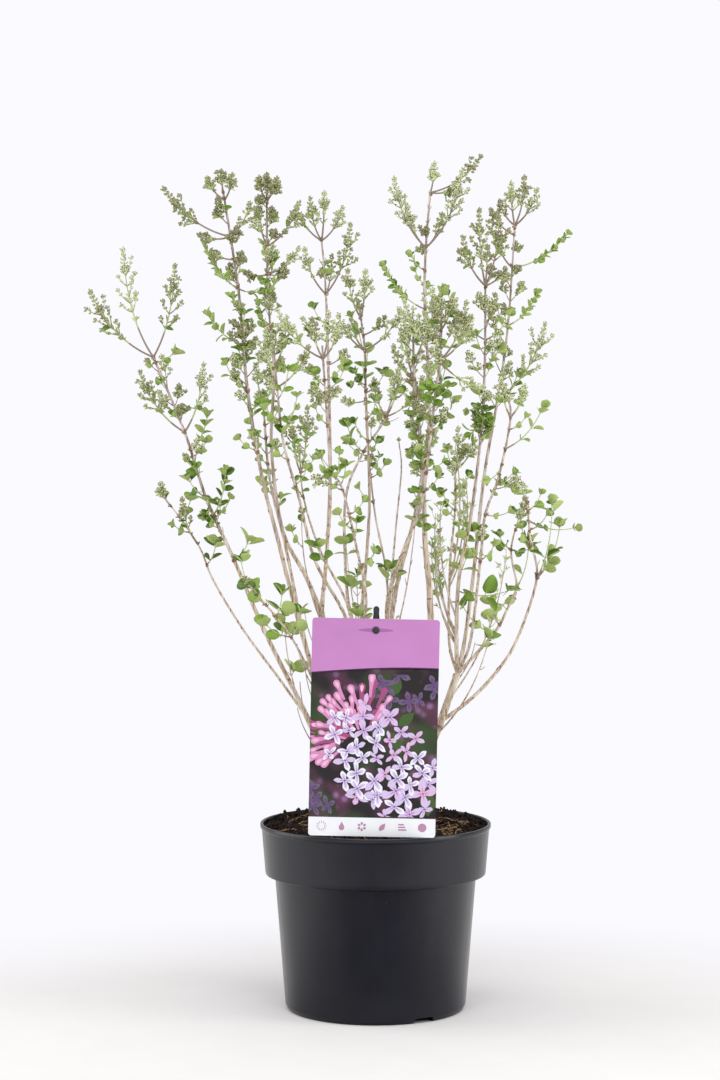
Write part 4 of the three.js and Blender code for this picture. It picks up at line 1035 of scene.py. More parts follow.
def draw_picture(growth, ink):
    """A truss of four-petalled florets that rises to the left, with tubes and closed buds at its
    end, and leaves and florets in the shade behind."""
    dice = np.random.default_rng(23)
    half = CARD["width"] / 2
    low, high = STRIP_TOP + 1, HEADER_FOOT - 1
    shapes = []
    for _ in range(7):
        at = dice.uniform((-half, low), (half, high))
        shapes.append((BLADE, at, dice.uniform(15, 24), dice.uniform(0, 6.3), 1, 0, "leaf"))
    for i in range(13):
        at = np.array((dice.uniform(-half, half), high - dice.uniform(0, 26))) if i < 9 \
            else dice.uniform((-half, low), (-18, low + 22))
        shapes += floret(at, dice.uniform(7, 10), dice, ("shade",), "dusk", "eye")
    left, up = CLOSED["middle"]
    for i in range(CLOSED["buds"]):
        turn = math.radians(dice.uniform(55, 215))
        away = dice.uniform(8, 40)
        at = np.array((left + away * math.cos(turn), up + 0.85 * away * math.sin(turn)))
        way = turn + dice.uniform(-0.4, 0.4)
        long = dice.uniform(13, 20)
        shapes.append((TUBE, at, long, way, 1, 0, "rose" if i < CLOSED["in_shade"] else "pink"))
        if i >= CLOSED["without_gleam"]:
            shapes.append((GLEAM, at, long, way, 1, 0, "gleam"))
    left, up = TRUSS["middle"]
    for i in reversed(range(TRUSS["florets"])):
        away, turn = math.sqrt((i + 0.5) / TRUSS["florets"]), GOLDEN_TURN * i
        along = TRUSS["half_length"] * away * math.cos(turn)
        across = TRUSS["half_width"] * away * math.sin(turn)
        at = np.array((left - 0.64 * along - 0.77 * across, up + 0.77 * along - 0.64 * across))
        at = at + dice.normal(0, 1.5, 2)
        petals, inner, throat = FLORETS[dice.integers(len(FLORETS))]
        shapes += floret(at, dice.uniform(7.8, 12.2), dice, petals, inner, throat)
        shapes.append((None, at, 0.8, 0, 1, 0, "eye"))
    layer = LOWEST_LAYER
    for half_outline, at, reach, turn, tilt, tilt_way, tone in shapes:
        outline = oval(at, reach, 0.8 * reach, 0, 8) if half_outline is None \
            else printed(half_outline, at, reach, turn, tilt, tilt_way)
        # What would run over the picture's edge is cut straight there.
        outline[:, 0] = np.clip(outline[:, 0], -half + 0.05, half - 0.05)
        outline[:, 1] = np.clip(outline[:, 1], low, high)
        if np.ptp(outline[:, 0]) > 0.5 and np.ptp(outline[:, 1]) > 0.5:
            layer += LAYER_RISE
            slab(growth, outline, layer, ink[tone])


def draw_icons(growth, finish):
    """Six small plain shapes on the strip. The sun is a ring of rays."""
    level, front = ICON_LEVEL, LOWEST_LAYER
    for ray in range(12):
        turn = ray * math.pi / 6
        at = np.array((ICONS["sun"] + 3.2 * math.cos(turn), level + 3.2 * math.sin(turn)))
        slab(growth, oval(at, 1.1, 0.26, turn, 6), front, finish)
        if ray % 2:
            at = np.array((ICONS["beads"] + 2.5 * math.cos(turn), level + 2.5 * math.sin(turn)))
            slab(growth, oval(at, 1.2, 1, turn, 8), front, finish)
    drop = arc((ICONS["drop"], level - 1), 2.2, 150, 390, 12) + [(ICONS["drop"], level + 3.8)]
    slab(growth, drop, front, finish)
    slab(growth, printed(BLADE, np.array((ICONS["leaf"], level - 3)), 7.4, 0.9), front, finish)
    for bar in range(3):
        left, right, foot = ICONS["bars"], ICONS["bars"] + 6.5 - bar, level - 2.6 + 2.1 * bar
        slab(growth, [(left, foot), (right, foot), (right, foot + 1.1), (left, foot + 1.1)], front,
             finish)
    slab(growth, oval((ICONS["disc"], level), 3.4, 3.4, 0, 24), front, finish)


def add_stake(growth, finish):
    """The flat stake behind the card with its rounded top, and the domed knob in front."""
    right = STAKE["half"]
    left = [(-across, up) for across, up in reversed(right)]
    top = arc(STAKE["top"], STAKE["top_radius"], 0, 180, 7)
    slab(growth, left[-1:] + right + top + left[:-1], -STAKE["behind"], finish, STAKE["thickness"])
    knob = np.array((0, 0, CARD["height"] - CARD["hole_drop"])) * MM
    depths, radii = np.array(KNOB).T * MM
    add_bar(growth, knob + np.outer(depths, (0, 1, 0)), radii, 28, finish)


def build_label(label):
    """The label and its stake, in place of their CAD solids."""
    inks = ("board", "header", "shadow", "line", "white", "lilac", "blush", "mauve", "shade", "dusk",
            "eye", "pink", "gleam", "rose", "leaf", "icons")
    ink = {name: i for i, name in enumerate(inks)}
    finishes = [printed_board(name, getattr(label, name)) for name in inks]
    ink["ground"] = len(finishes)
    finishes.append(blurred_print(label.ground_dark, label.ground_green, label.ground_plum,
                                  label.ground_haze))
    growth = Growth()
    slab(growth, card_outline(0, CARD["height"]), 0, ink["board"], CARD["thickness"])
    slab(growth, card_outline(STRIP_TOP, HEADER_FOOT + 6), 0.05, ink["ground"])
    draw_picture(growth, ink)
    slab(growth, card_outline(HEADER_FOOT - 0.9, HEADER_FOOT + 8), 1.18, ink["line"])
    slab(growth, card_outline(HEADER_FOOT, CARD["height"]), 1.2, ink["header"], 1.1)
    knob_height = CARD["height"] - CARD["hole_drop"]
    slab(growth, oval((0, knob_height), 14, 1.5, 0, 24), 1.22, ink["shadow"])
    draw_icons(growth, ink["icons"])
    made = growth.piece("picture_label", finishes, "card", False)
    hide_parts("label_card")
    holder = Growth()
    add_stake(holder, 0)
    stake = holder.piece("label_stake", [moulded_polystyrene(label.holder)], "holder", False)
    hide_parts("label_holder")
    foot = Vector((CARD["centre_x"], CARD["front"], CARD["bottom"])) * MM
    for piece in (made, stake):
        piece.data.transform(Matrix.Translation(foot)
                             @ Matrix.Rotation(math.radians(CARD["lean"]), 4, "Y"))


# ---- wood ----


def stem_line(fork):
    """A stem's line: out of the root crown, bowed upwards to its fork."""
    fork = np.array(fork, float)
    start = np.array((CROWN["x"] + fork[0] * 0.12, fork[1] * 0.2,
                      CROWN["foot"] + CROWN["height"] * 0.5))
    bow = (start + fork) / 2 + (fork[0] * 0.1, fork[1] * 0.1, -8)
    return Spline(np.array([start, bow, fork]) * MM)


def wand_line(start, depth, route):
    """A wand's line: it leans forwards or back early on and then stands up."""
    top = route[-1][1] * MM
    places = []
    for across, height in route:
        up = (height * MM - start[2]) / (top - start[2])
        away = start[1] + (depth * MM - start[1]) * up * (1.5 - 0.5 * up)
        places.append((across * MM, away, height * MM))
    return Spline([start, *places])


def grow_lines():
    """Every limb's line by name, as the CAD model makes them, and where each wand's head starts."""
    lines = {f"stem_{name}": stem_line(fork) for name, fork, _ in STEMS}
    crown = np.array((CROWN["x"] + 3, -4, CROWN["foot"] + CROWN["height"] * 0.5)) * MM
    starts = {}
    for name, (parent, share), depth, _, route, arms, shoots in WANDS:
        foot = crown if parent == "root_crown" else lines[parent].at(share)[0]
        whole = wand_line(foot, depth, route)
        heights = [row[0] for row in (*arms, *shoots)]
        starts[name] = 1.0
        if heights:
            lowest = max(min(heights) - HEAD_LEAD, route[0][1] - 30)
            starts[name] = share_at(whole, lowest * MM)
        lines[f"wand_{name}"] = whole
        lines[f"bough_{name}"] = Stretch(whole, 0, starts[name])
    return lines, starts


BARK = {"old": 0, "middle": 1, "young": 2, "scar": 3}
SLIMMER = 0.93  # the wood is a little slimmer than the CAD bars, as its ribs and scars add to it
RING_GAP = 1.7  # between the rings of points along a limb
SCAR_REACH = 1.3  # how far a leaf scar's swelling runs along the limb
SCAR_FROM = 0.12  # a swelling of this share of the radius shows as a scar
BARK_DRIFT = 30  # how far a limb's change of bark may lie from the usual height


def add_limb(growth, line, girth, sides, dice, relief, reach=(0, 1)):
    """A limb with its bark's relief: long ribs, and swollen leaf scars set square in turn."""
    length = run_of(line)
    low, high = reach
    steps = max(4, int(length * (high - low) / (RING_GAP * MM)))
    shares = np.linspace(low, high, steps + 1)
    points = line.at(shares)
    along = shares * length
    scars = np.cumsum(dice.uniform(0.75, 1.3, 40)) * NODE_GAP * MM
    turn = turns(sides)
    radius = (girth[0] + (girth[1] - girth[0]) * shares) / 2 * MM * SLIMMER
    ribs = dice.normal(0, 0.35, (steps + 1, sides))
    for count in (2, 3, 5):
        drift = np.cumsum(dice.normal(0, 0.06, steps + 1)) + dice.uniform(0, 6.28)
        ribs += np.sin(count * turn + drift[:, None]) / count
    swell = np.zeros((steps + 1, sides))
    for i, scar in enumerate(scars):
        near = np.exp(-((along - scar) / (SCAR_REACH * MM)) ** 2)[:, None]
        swell += near * (0.06 + 0.26 * np.abs(np.cos(turn + i * math.pi / 2)) ** 8)
    radii = radius[:, None] * (1 + relief * ribs + swell)
    tops = [(top + dice.uniform(-BARK_DRIFT, BARK_DRIFT)) * MM for top in BARK_TOPS]
    barks = np.searchsorted(tops, points[:-1, 2])[:, None]
    add_bar(growth, points, radii, sides, np.where(swell[:-1] > SCAR_FROM, BARK["scar"], barks))


def add_crown(growth, relief):
    """The root crown: a lobed flare that the stems rise from, cut flat at the soil."""
    dice = np.random.default_rng(3)
    sides, heights = 60, np.linspace(0, 1, 22)[:, None]
    radii, shares = np.array(CROWN["profile"], float).T
    turn = turns(sides)
    lobes = 1 + CROWN["lobe_share"] * (1 - heights) * np.cos(CROWN["lobes"] * turn)
    ribs = 1 + relief * (np.sin(11 * turn + 1.3) + 0.6 * np.sin(17 * turn)) \
        + dice.normal(0, 0.35 * relief, (len(heights), sides))
    spread = np.interp(heights, shares, radii) * MM * lobes * ribs
    x, rise = CROWN["x"] * MM, (CROWN["foot"] + heights * CROWN["height"]) * MM
    ends = [(x, 0, rise[0][0]), (x, 0, rise[-1][0])]
    growth.add_rings(level_rings(spread, rise, sides, x), ends, BARK["old"])


def bark_finishes(wood):
    """The barks, made once and shared by the limbs and the twigs."""
    if "bark_old" not in bpy.data.materials:
        lilac_bark("old", wood.old, wood.old_streak, wood.old_pale)
        lilac_bark("middle", wood.middle, wood.middle_streak, wood.middle_pale)
        lilac_bark("young", wood.young, wood.young_streak, wood.young_pale)
        lilac_bark("scar", wood.scar, shade(wood.scar, 0.45), shade(wood.scar, 1.4))
    return [bpy.data.materials[f"bark_{name}"] for name in BARK]


def cad_nodes(start):
    """The CAD nodes whose names start so."""
    return [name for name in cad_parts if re.match(start, name)]


def build_wood(wood):
    """The root crown, stems and boughs, in place of their CAD solids."""
    growth = Growth()
    lines, starts = grow_lines()
    add_crown(growth, wood.relief)
    for i, (name, _, girth) in enumerate(STEMS):
        add_limb(growth, lines[f"stem_{name}"], girth, 20, np.random.default_rng(300 + i),
                 wood.relief)
    for i, (name, _, _, girth, *_) in enumerate(WANDS):
        add_limb(growth, lines[f"wand_{name}"], girth, 14, np.random.default_rng(400 + i),
                 wood.relief, (0, starts[name]))
    made = growth.piece("stems_and_boughs", bark_finishes(wood), "bark")
    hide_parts(*cad_nodes("root_crown|stem_|bough_"))


# ---- heads: twigs, buds and leaves ----


def leaf_form(width, fold, curl):
    """A leaf one long and along X: a thin closed blade, folded along its middle and curled back.
    Gives its points, and the faces of its top and of its back."""
    along = np.array((0.0, 0.09, 0.24, 0.44, 0.64, 0.82, 0.94, 1.0))
    half = width / 2 * np.array((0.06, 0.55, 0.93, 1.0, 0.94, 0.72, 0.4, 0.03))
    count = len(along)
    side = np.array((-1, 0, 1))
    lift = (curl * along ** 2)[:, None] + fold * half[:, None] * np.abs(side)
    top = np.stack([np.broadcast_to(along[:, None], lift.shape), half[:, None] * side, lift], axis=-1)
    back = top * (1, 0.96, 1) - (0, 0, 0.018)
    station = np.arange(count - 1)[:, None] * 3
    column = np.arange(2)
    quads = np.stack([station + column, station + 3 + column, station + 4 + column,
                      station + 1 + column], axis=-1).reshape(-1, 4)
    border = np.array([*range(0, count * 3, 3), *range(count * 3 - 2, count * 3),
                       *range(count * 3 - 4, 0, -3), 1])
    after = np.roll(border, -1)
    edge = np.stack([after, border, border + count * 3, after + count * 3], axis=-1)
    points = np.concatenate([top.reshape(-1, 3), back.reshape(-1, 3)])
    return points, quads, np.concatenate([quads[:, ::-1] + count * 3, edge])


def bud_form(sides):
    """A closed bud one long and one wide: its points, and the faces of its calyx and its tip."""
    along = np.array((0.0, 0.16, 0.5, 0.8))[:, None]
    radii = np.array((0.16, 0.42, 0.5, 0.36))[:, None]
    rings = np.roll(level_rings(radii, along, sides), 1, axis=-1)
    quads, caps = ring_rows(4, sides)
    points = np.concatenate([rings.reshape(-1, 3), [(0, 0, 0)], [(1, 0, 0)]])
    return points, quads, caps[:sides], caps[sides:]


def leaflet_form():
    """A small narrow leaf one long and one wide, folded to a keel: its points and its faces."""
    along = np.array((0.0, 0.28, 0.68))
    half = np.array((0.1, 0.5, 0.36))[:, None]
    side, lift = np.array((1, 0, -1, 0)), np.array((0.8, 0.1, 0.8, -0.2))
    rings = np.stack([np.broadcast_to(along[:, None], (3, 4)), half * side, half * lift], axis=-1)
    quads, caps = ring_rows(3, 4)
    return np.concatenate([rings.reshape(-1, 3), [(0, 0, 0)], [(1, 0, 0.1)]]), quads, caps


LEAF_FORMS = [leaf_form(width, fold, curl) for width, fold, curl in (
    (0.78, 0.35, -0.12), (0.86, 0.25, -0.25), (0.68, 0.5, 0.08), (0.9, 0.3, -0.3),
    (0.8, 0.7, 0.12), (0.6, 0.45, -0.2))]
BUD_FORM = bud_form(5)
LEAFLET_FORM = leaflet_form()
TWIG = {**BARK, "arm": 4, "shoot": 5}
BUD = {"olive": 0, "pale": 1, "dusky": 2, "tip": 3}
LEAFLET = {"green": 0, "pale": 1}
LEAF = {"fresh": 0, "mid": 1, "deep": 2, "back": 3, "stalk": 4}

# Heights in metres, and what changes with them.
FRESH_FROM = 0.58  # no deep green leaves from here up
CLOSE_FROM = 0.55  # leaves are small and close to their twig from here up
BLOOM_SPAN = (0.45, 0.64)  # from its foot to its top, dusky sprays of buds gain on pale ones
LEAF_SPAN = (0.34, 0.4, 0.62)  # a full leaf's size falls over it, against the middling leaf's
LEAF_SIZES = (1.4, 0.95, 0.75)
BROAD_FROM = 1.1  # leaves larger than this against a full leaf face the front
FRONT = heading(-90, 20)


class Head:
    """Grows what one wand's head carries: arms, spikes and shoots, with their buds and leaves."""

    def __init__(self, seed, growths, look, fullness=1.0):
        self.dice = np.random.default_rng(seed)
        self.twigs, self.buds, self.leaflets, self.leaves = growths
        self.look = look
        self.fullness = fullness

    def vary(self, low, high):
        """A number drawn between two."""
        return self.dice.uniform(low, high)

    def chance(self, share):
        """Whether what happens in this share of cases does so now."""
        return self.dice.random() < share

    def spray(self, height):
        """The leaf colour that one whole spray takes: fresher high up."""
        colours = ("fresh", "mid", "fresh") if height > FRESH_FROM else ("fresh", "mid", "deep", "mid")
        return colours[self.dice.integers(len(colours))]

    def bloom(self, height):
        """The bud colour that one whole spray takes: duskier high up, paler low down."""
        roll = self.dice.random()
        if roll < np.interp(height, BLOOM_SPAN, (0.05, 0.25)):
            return BUD["dusky"]
        return BUD["pale"] if roll > np.interp(height, BLOOM_SPAN, (0.4, 0.65)) else BUD["olive"]

    def stalk(self, line, thick, thin, sides, finish, green_from=1.0):
        """A stalk that turns green from a share of its length onwards."""
        count = max(3, int(run_of(line) / (3 * MM)))
        shares = np.linspace(0, 1, count + 1)
        bands = np.where(shares[:-1] < green_from, TWIG[finish], TWIG["shoot"])
        radii = (thick + (thin - thick) * shares) / 2 * MM
        add_bar(self.twigs, line.at(shares), radii, sides, bands)

    def bud(self, at, direction, scale, finish):
        """One closed bud, its tip darker than its calyx."""
        points, quads, foot, tip = BUD_FORM
        across, up = square_to(direction)
        length = self.look.bud_length * scale
        width = length * self.vary(0.64, 0.8)
        turned = points * (length, width, width) @ np.stack([direction, across, up])
        self.buds.add(at + turned, (quads, finish), (foot, finish), (tip, BUD["tip"]))

    def cluster(self, at, forward, outs, finish, count):
        """A knot of buds: one onwards, and the others round it."""
        self.bud(at, forward, self.vary(0.9, 1.1), finish)
        spin = self.vary(0, 6.28)
        for i in range(count - 1):
            turn = spin + 2 * math.pi * i / (count - 1)
            out = sideways(outs, turn)
            direction = leaning(forward, out, self.vary(32, 60))
            self.bud(at + (direction - forward) * 0.8 * MM, direction, self.vary(0.75, 1.0), finish)

    def upright(self, direction, facing):
        """The two directions square to a leaf's own, the second as near to facing as can be."""
        up = facing - facing.dot(direction) * direction
        up = unit(up) if np.linalg.norm(up) > 1e-3 else square_to(direction)[1]
        return np.cross(up, direction), up

    def leaflet(self, at, direction, facing, length, finish):
        """A small narrow leaf that stands close to its stalk."""
        points, quads, ends = LEAFLET_FORM
        across, up = self.upright(direction, facing)
        width = length * self.vary(0.34, 0.5)
        turned = points * (length, width, width) @ np.stack([direction, across, up])
        self.leaflets.add(at + turned, (quads, finish), (ends, finish))

    def leaf(self, at, direction, facing, length, finish):
        """A leaf on its own short stalk, its upper side towards facing."""
        points, top, under = LEAF_FORMS[self.dice.integers(len(LEAF_FORMS))]
        across, up = self.upright(direction, facing)
        tilt = self.dice.normal(0, 0.55)
        across, up = (across * math.cos(tilt) + up * math.sin(tilt),
                      up * math.cos(tilt) - across * math.sin(tilt))
        foot = at + direction * length * 0.16
        turned = points * length @ np.stack([direction, across, up])
        self.leaves.add(foot + turned, (top, LEAF[finish]), (under, LEAF["back"]))
        add_bar(self.leaves, [at - direction * 0.3 * MM, foot + direction * 0.1 * length],
                [0.42 * MM, 0.3 * MM], 4, LEAF["stalk"])

    def full(self, height):
        """The length of a full leaf: larger on the low shoots."""
        return self.look.leaf_length * np.interp(height, LEAF_SPAN, LEAF_SIZES)

    def rosette(self, at, forward, outs, length, finish):
        """Two crossed pairs of leaves, cupped round the shoot's end."""
        for out, lean, share in ((outs[0], 50, 1), (outs[1], 28, 0.7)):
            for way in (1, -1):
                direction = leaning(forward, way * out, lean + self.vary(-12, 12))
                self.leaf(at, direction, forward - way * out, length * share * self.vary(0.8, 1.05),
                          finish)

    def joint(self, line, share, thick, scales):
        """A swollen joint with the dry scales of last year's buds round it."""
        at, forward, outs = stand_on(line, share)
        rings = at + np.outer(np.linspace(-2, 1.7, 6) * MM, forward)
        swell = np.array((0.9, 1.1, 1.35, 1.3, 1.1, 0.8))[:, None] * thick / 2 * MM
        add_bar(self.twigs, rings, swell * self.dice.uniform(0.85, 1.15, (6, 8)), 8, TWIG["scar"])
        for _ in range(scales):
            turn = self.vary(0, 2 * math.pi)
            out = sideways(outs, turn)
            direction = leaning(forward, out, self.vary(15, 65))
            foot = at + forward * self.vary(-1.4, 1.2) * MM + out * thick * 0.42 * MM
            reach = self.vary(0.9, 2.6) * MM
            ends = [foot, foot + direction * reach * 0.6, foot + direction * reach]
            finish = TWIG["scar"] if self.chance(0.5) else TWIG["middle"]
            add_bar(self.twigs, ends, np.array((0.5, 0.55, 0.15)) * MM, 4, finish)

    def spike(self, at, forward, out, reach, finish, fold):
        """A side stalk of a panicle, which turns towards the tip and is crowded with buds."""
        direction = leaning(forward, out, self.vary(36, 58))
        end = at + unit(direction * 0.85 + forward * 0.35) * reach
        line = Bow(at - direction * 0.3 * MM, at + direction * reach * 0.55, end)
        self.stalk(line, 0.95, 0.6, 4, "arm", 0.3)
        knots = int((reach * 0.6) / (3.2 * MM))
        for i in range(knots):
            place, ahead, outs = stand_on(line, 0.42 + 0.5 * i / knots)
            for way in (1, -1):
                roll = self.dice.random()
                if roll < 0.62:
                    side = leaning(ahead, way * outs[i % 2], self.vary(40, 60))
                    self.bud(place + side * 0.2 * MM, side, self.vary(0.7, 1), finish)
                elif roll < 0.9:
                    side = leaning(ahead, way * outs[i % 2], self.vary(20, 45))
                    self.leaflet(place, side, ahead, self.vary(3.8, 6) * MM, fold)
        place, ahead, outs = stand_on(line, 1)
        self.cluster(place - ahead * 0.8 * MM, ahead, outs, finish, 4 if reach > 5 * MM else 3)

    def cone(self, line, start, finish):
        """The crowded end of an arm: whorls of buds that close up to the tip."""
        length = run_of(line) * (1 - start)
        whorls = max(3, int(length / (2.6 * MM)))
        for i in range(whorls):
            up = i / whorls
            around = 2 if up > 0.7 else 3
            for j in range(around):
                turn = 2 * math.pi * (j + 0.5 * (i % 2)) / around + self.vary(-0.35, 0.35)
                at, forward, out = stand_out(line, start + (1 - start) * up, turn)
                direction = leaning(forward, out, 60 - 30 * up)
                away = at + out * (1.5 * (1 - up) + 0.2) * MM
                if up < 0.3 and length > 10 * MM:
                    self.cluster(away, direction, square_to(direction), finish, 3)
                else:
                    self.bud(away, direction, self.vary(0.8, 1.1), finish)
        at, forward, outs = stand_on(line, 1)
        self.cluster(at - forward * MM, forward, outs, finish, 4)

    def dress(self, line, first=0.36):
        """Dresses a flower arm: pairs of spikes, each square to the last, and a crowded end."""
        length, height = run_of(line), line.at(1)[0][2]
        short = length < 32 * MM and height > 0.6
        finish = BUD["dusky"] if short and self.chance(0.6) else self.bloom(height)
        spray = self.spray(height)
        fold = LEAFLET["pale" if finish == BUD["pale"] or self.chance(0.3) else "green"]
        leafy = np.interp(height, (0.4, 0.62), (0.6, 0.1))
        pairs = int(np.clip(round(length / (13 * MM)), 1, 6)) + short
        last = 1 - min(np.clip(0.26 * length, 6.5 * MM, 17 * MM), 0.55 * length) / length
        for pair in range(pairs):
            share = first + (last - first) * (pair + self.vary(0.1, 0.7)) / pairs
            turn = pair * math.pi / 2 + self.vary(-0.35, 0.35)
            at, forward, out = stand_out(line, share, turn)
            reach = min(0.27 * max(length, 30 * MM) * (1.25 - 0.6 * share), 15 * MM)
            if pair == 0 and length > 45 * MM and self.chance(0.35):
                reach *= 0.35
            for way in (1, -1):
                if self.chance(0.9):
                    self.spike(at, forward, way * out, reach * self.vary(0.7, 1.1), finish, fold)
                if self.chance(0.6):
                    direction = leaning(forward, way * out, self.vary(22, 50))
                    self.leaflet(at, direction, forward, self.vary(4.5, 8.5) * MM, fold)
                if self.chance(leafy * (1.1 - share)):
                    direction = leaning(forward, way * out, self.vary(50, 80))
                    self.leaf(at, direction, forward, self.full(height) * self.vary(0.5, 0.85), spray)
        self.cone(line, last, finish)

    def wisp(self, line, first):
        """What a thin shoot carries: short side stalks in pairs that end in leaflets or buds."""
        length = run_of(line)
        finish = self.bloom(line.at(1)[0][2])
        fold = LEAFLET["pale" if self.chance(0.5) else "green"]
        place, turn = first * length, self.vary(0, math.pi)
        while place < length:
            at, forward, outs = stand_on(line, place / length)
            out = sideways(outs, turn)
            for way in (1, -1):
                if not self.chance(0.75):
                    continue
                direction = leaning(forward, way * out, self.vary(30, 60))
                reach = self.vary(2.5, 9) * MM
                end = at + unit(direction + 0.3 * forward) * reach
                self.stalk(Bow(at, at + direction * reach * 0.5, end), 0.7, 0.5, 4, "shoot", 0)
                ahead = unit(end - at)
                for lean in (-28, 22):
                    self.leaflet(end, leaning(ahead, outs[1], lean), forward,
                                 self.vary(4, 7) * MM, fold)
                if self.chance(0.35):
                    self.cluster(end, ahead, square_to(ahead), finish, 3)
            turn += math.pi / 2 + self.vary(-0.3, 0.3)
            place += self.vary(6, 11) * MM

    def arm(self, at, bearing, rise, length):
        """A flower arm of the wand, mauve-brown at its foot and green towards its end."""
        line = side_line(at, bearing, rise, length)
        self.stalk(line, 1.7, 0.9, 6, "arm", np.interp(at[2], (0.5, 0.64), (0.22, 0.6)))
        self.dress(line)

    def leafy_twig(self, line, thick, large=1.0):
        """Opposite leaves in pairs that turn by a right angle, and a cupped end. High up the
        leaves are small and stand close to the stalk, and very large ones face the front."""
        length, height = run_of(line), line.at(0)[0][2]
        spray, full = self.spray(height), self.full(height) * large
        high = height > CLOSE_FROM
        self.stalk(line, thick, 0.7, 5, "arm", 0.15)
        broad = large > BROAD_FROM
        bare = 0.12 if broad else 0.34
        step = (3 if high else 4.6) * large ** 5 * MM
        pairs = max(1, round(self.fullness * (1 - bare) * length / step) - 1)
        for pair in range(pairs):
            share = bare + (0.92 - bare) * pair / max(1, pairs - 1)
            turn = pair * math.pi / 2 + self.vary(-0.3, 0.3)
            at, forward, out = stand_out(line, share, turn)
            for way in (1, -1):
                if self.chance(0.93):
                    lean = self.vary(22, 45) if high else self.vary(42, 78) - 12 * share
                    self.leaf(at, leaning(forward, way * out, lean), FRONT if broad else forward,
                              full * (0.72 if high else 0.8 + 0.2 * share) * self.vary(0.75, 1.05),
                              spray)
        at, forward, outs = stand_on(line, 1)
        self.rosette(at, forward, outs, (0.6 if broad else 0.8) * full, spray)

    def shoot(self, at, bearing, rise, length):
        """A leafy shoot of the wand."""
        line = side_line(at, bearing, rise, length)
        if at[2] > 0.5 and length < 22 * MM and self.chance(0.5):
            self.stalk(line, 1.2, 0.7, 5, "arm", 0.4)
            self.dress(line)
        else:
            self.leafy_twig(line, 1.4)

    def sprout(self, kind, at, forward, out, reach):
        """A small growth at a joint: a leafy or budded twig, a rosette of leaves or a dry stub."""
        direction = leaning(forward, out, self.vary(35, 62))
        line = Bow(at, at + direction * reach * 0.5, at + unit(direction + 0.45 * forward) * reach)
        if kind == "leafy":
            self.leafy_twig(line, 1.0)
        elif kind == "budded":
            self.stalk(line, 1.0, 0.6, 4, "arm", 0.25)
            self.dress(line, 0.3)
        elif kind == "rosette":
            self.stalk(line, 0.9, 0.7, 4, "shoot")
            place, ahead, outs = stand_on(line, 1)
            self.rosette(place, ahead, outs, 0.9 * self.full(at[2]), self.spray(at[2]))
        else:
            self.stalk(line, 0.75, 0.35, 4, "scar")

    def sprout_by_height(self, at, forward, out):
        """What grows at a joint between the arms, if anything, by its height."""
        height, roll = at[2] / MM, self.dice.random() / self.fullness
        reach = np.interp(height, FILL["height"], FILL["reach"]) * self.vary(0.55, 1.5) * MM
        for kind, share in (("leafy", 1), ("budded", 1), ("rosette", 0.3), ("dry", 0.5)):
            roll -= np.interp(height, FILL["height"], FILL[kind])
            if roll < 0:
                self.sprout(kind, at, forward, out, reach * share)
                return

    def thicket(self, line, low, high, kind, count, reach):
        """So many growths of one kind on a wand between two heights."""
        for _ in range(count):
            share = share_at(line, self.vary(low, high) * MM)
            at, forward, out = stand_out(line, share, self.vary(0, 2 * math.pi))
            self.sprout(kind, at, forward, out, reach * self.vary(0.7, 1.2) * MM)

    def fill(self, line, low, high, taken=()):
        """Small growths in opposite pairs along a wand, each pair square to the last."""
        length = run_of(line)
        place = low * length + 6 * MM
        turn = self.vary(0, math.pi)
        while place < high * length:
            if all(abs(place - share * length) > 6 * MM for share in taken):
                at, forward, out = stand_out(line, place / length, turn)
                self.sprout_by_height(at, forward, out)
                self.sprout_by_height(at, forward, -out)
            turn += math.pi / 2 + self.vary(-0.3, 0.3)
            place += self.vary(11, 18) * MM


def grow_head(head, wand, line, start, relief):
    """The head of one wand: its stem, its arms and shoots, their joints, and what fills it."""
    _, _, _, girth, route, arms, shoots = wand
    add_limb(head.twigs, line, girth, 10, head.dice, relief, (start, 1))
    highest = (route[-1][1] - 2) * MM
    taken = [share_at(line, min(row[0] * MM, highest)) for row in (*arms, *shoots)]
    for share, (_, bearing, rise, reach) in zip(taken, arms):
        head.arm(line.at(share)[0], bearing, rise, reach * MM)
    for share, (_, bearing, rise, reach) in zip(taken[len(arms):], shoots):
        head.shoot(line.at(share)[0], bearing, rise, reach * MM)
    places = [round(share, 2) for share in taken]
    for share in sorted(set(places)):
        thick = girth[0] + (girth[1] - girth[0]) * share
        head.joint(line, share, thick, 2 + 3 * places.count(share))
    if (1 - max(taken)) * run_of(line) > 12 * MM:
        head.dress(Stretch(line, max(taken), 1), 0.3)
    head.fill(line, start, max(taken), taken)
    for thicket in THICKETS.get(wand[0], ()):
        head.thicket(line, *thicket)
    for height, bearing, rise, reach, large in BROAD_TWIGS.get(wand[0], ()):
        at = line.at(share_at(line, height * MM))[0]
        head.leafy_twig(side_line(at, bearing, rise, reach * MM), 1.3, large)


BARE_UNDER = 62  # a side shoot shorter than this carries nothing


def grow_withe(head, at, out, lean, length, leafy):
    """One thin side shoot that bends upwards, bare, with leafy twigs, or with small buds and
    leaflets."""
    up = np.array((0, 0, 1.0))
    line = Bow(at, at + leaning(up, out, lean + 18) * length * 0.5,
               at + leaning(up, out, lean) * length)
    if length < BARE_UNDER * MM:
        head.stalk(line, 1.2, 0.7, 6, "young")
        return
    head.stalk(line, 1.7, 0.7, 6, "old")
    if leafy:
        head.fill(line, 0.5, 1)
        head.leafy_twig(Stretch(line, 0.9, 1), 0.8)
    else:
        head.wisp(line, 0.45)


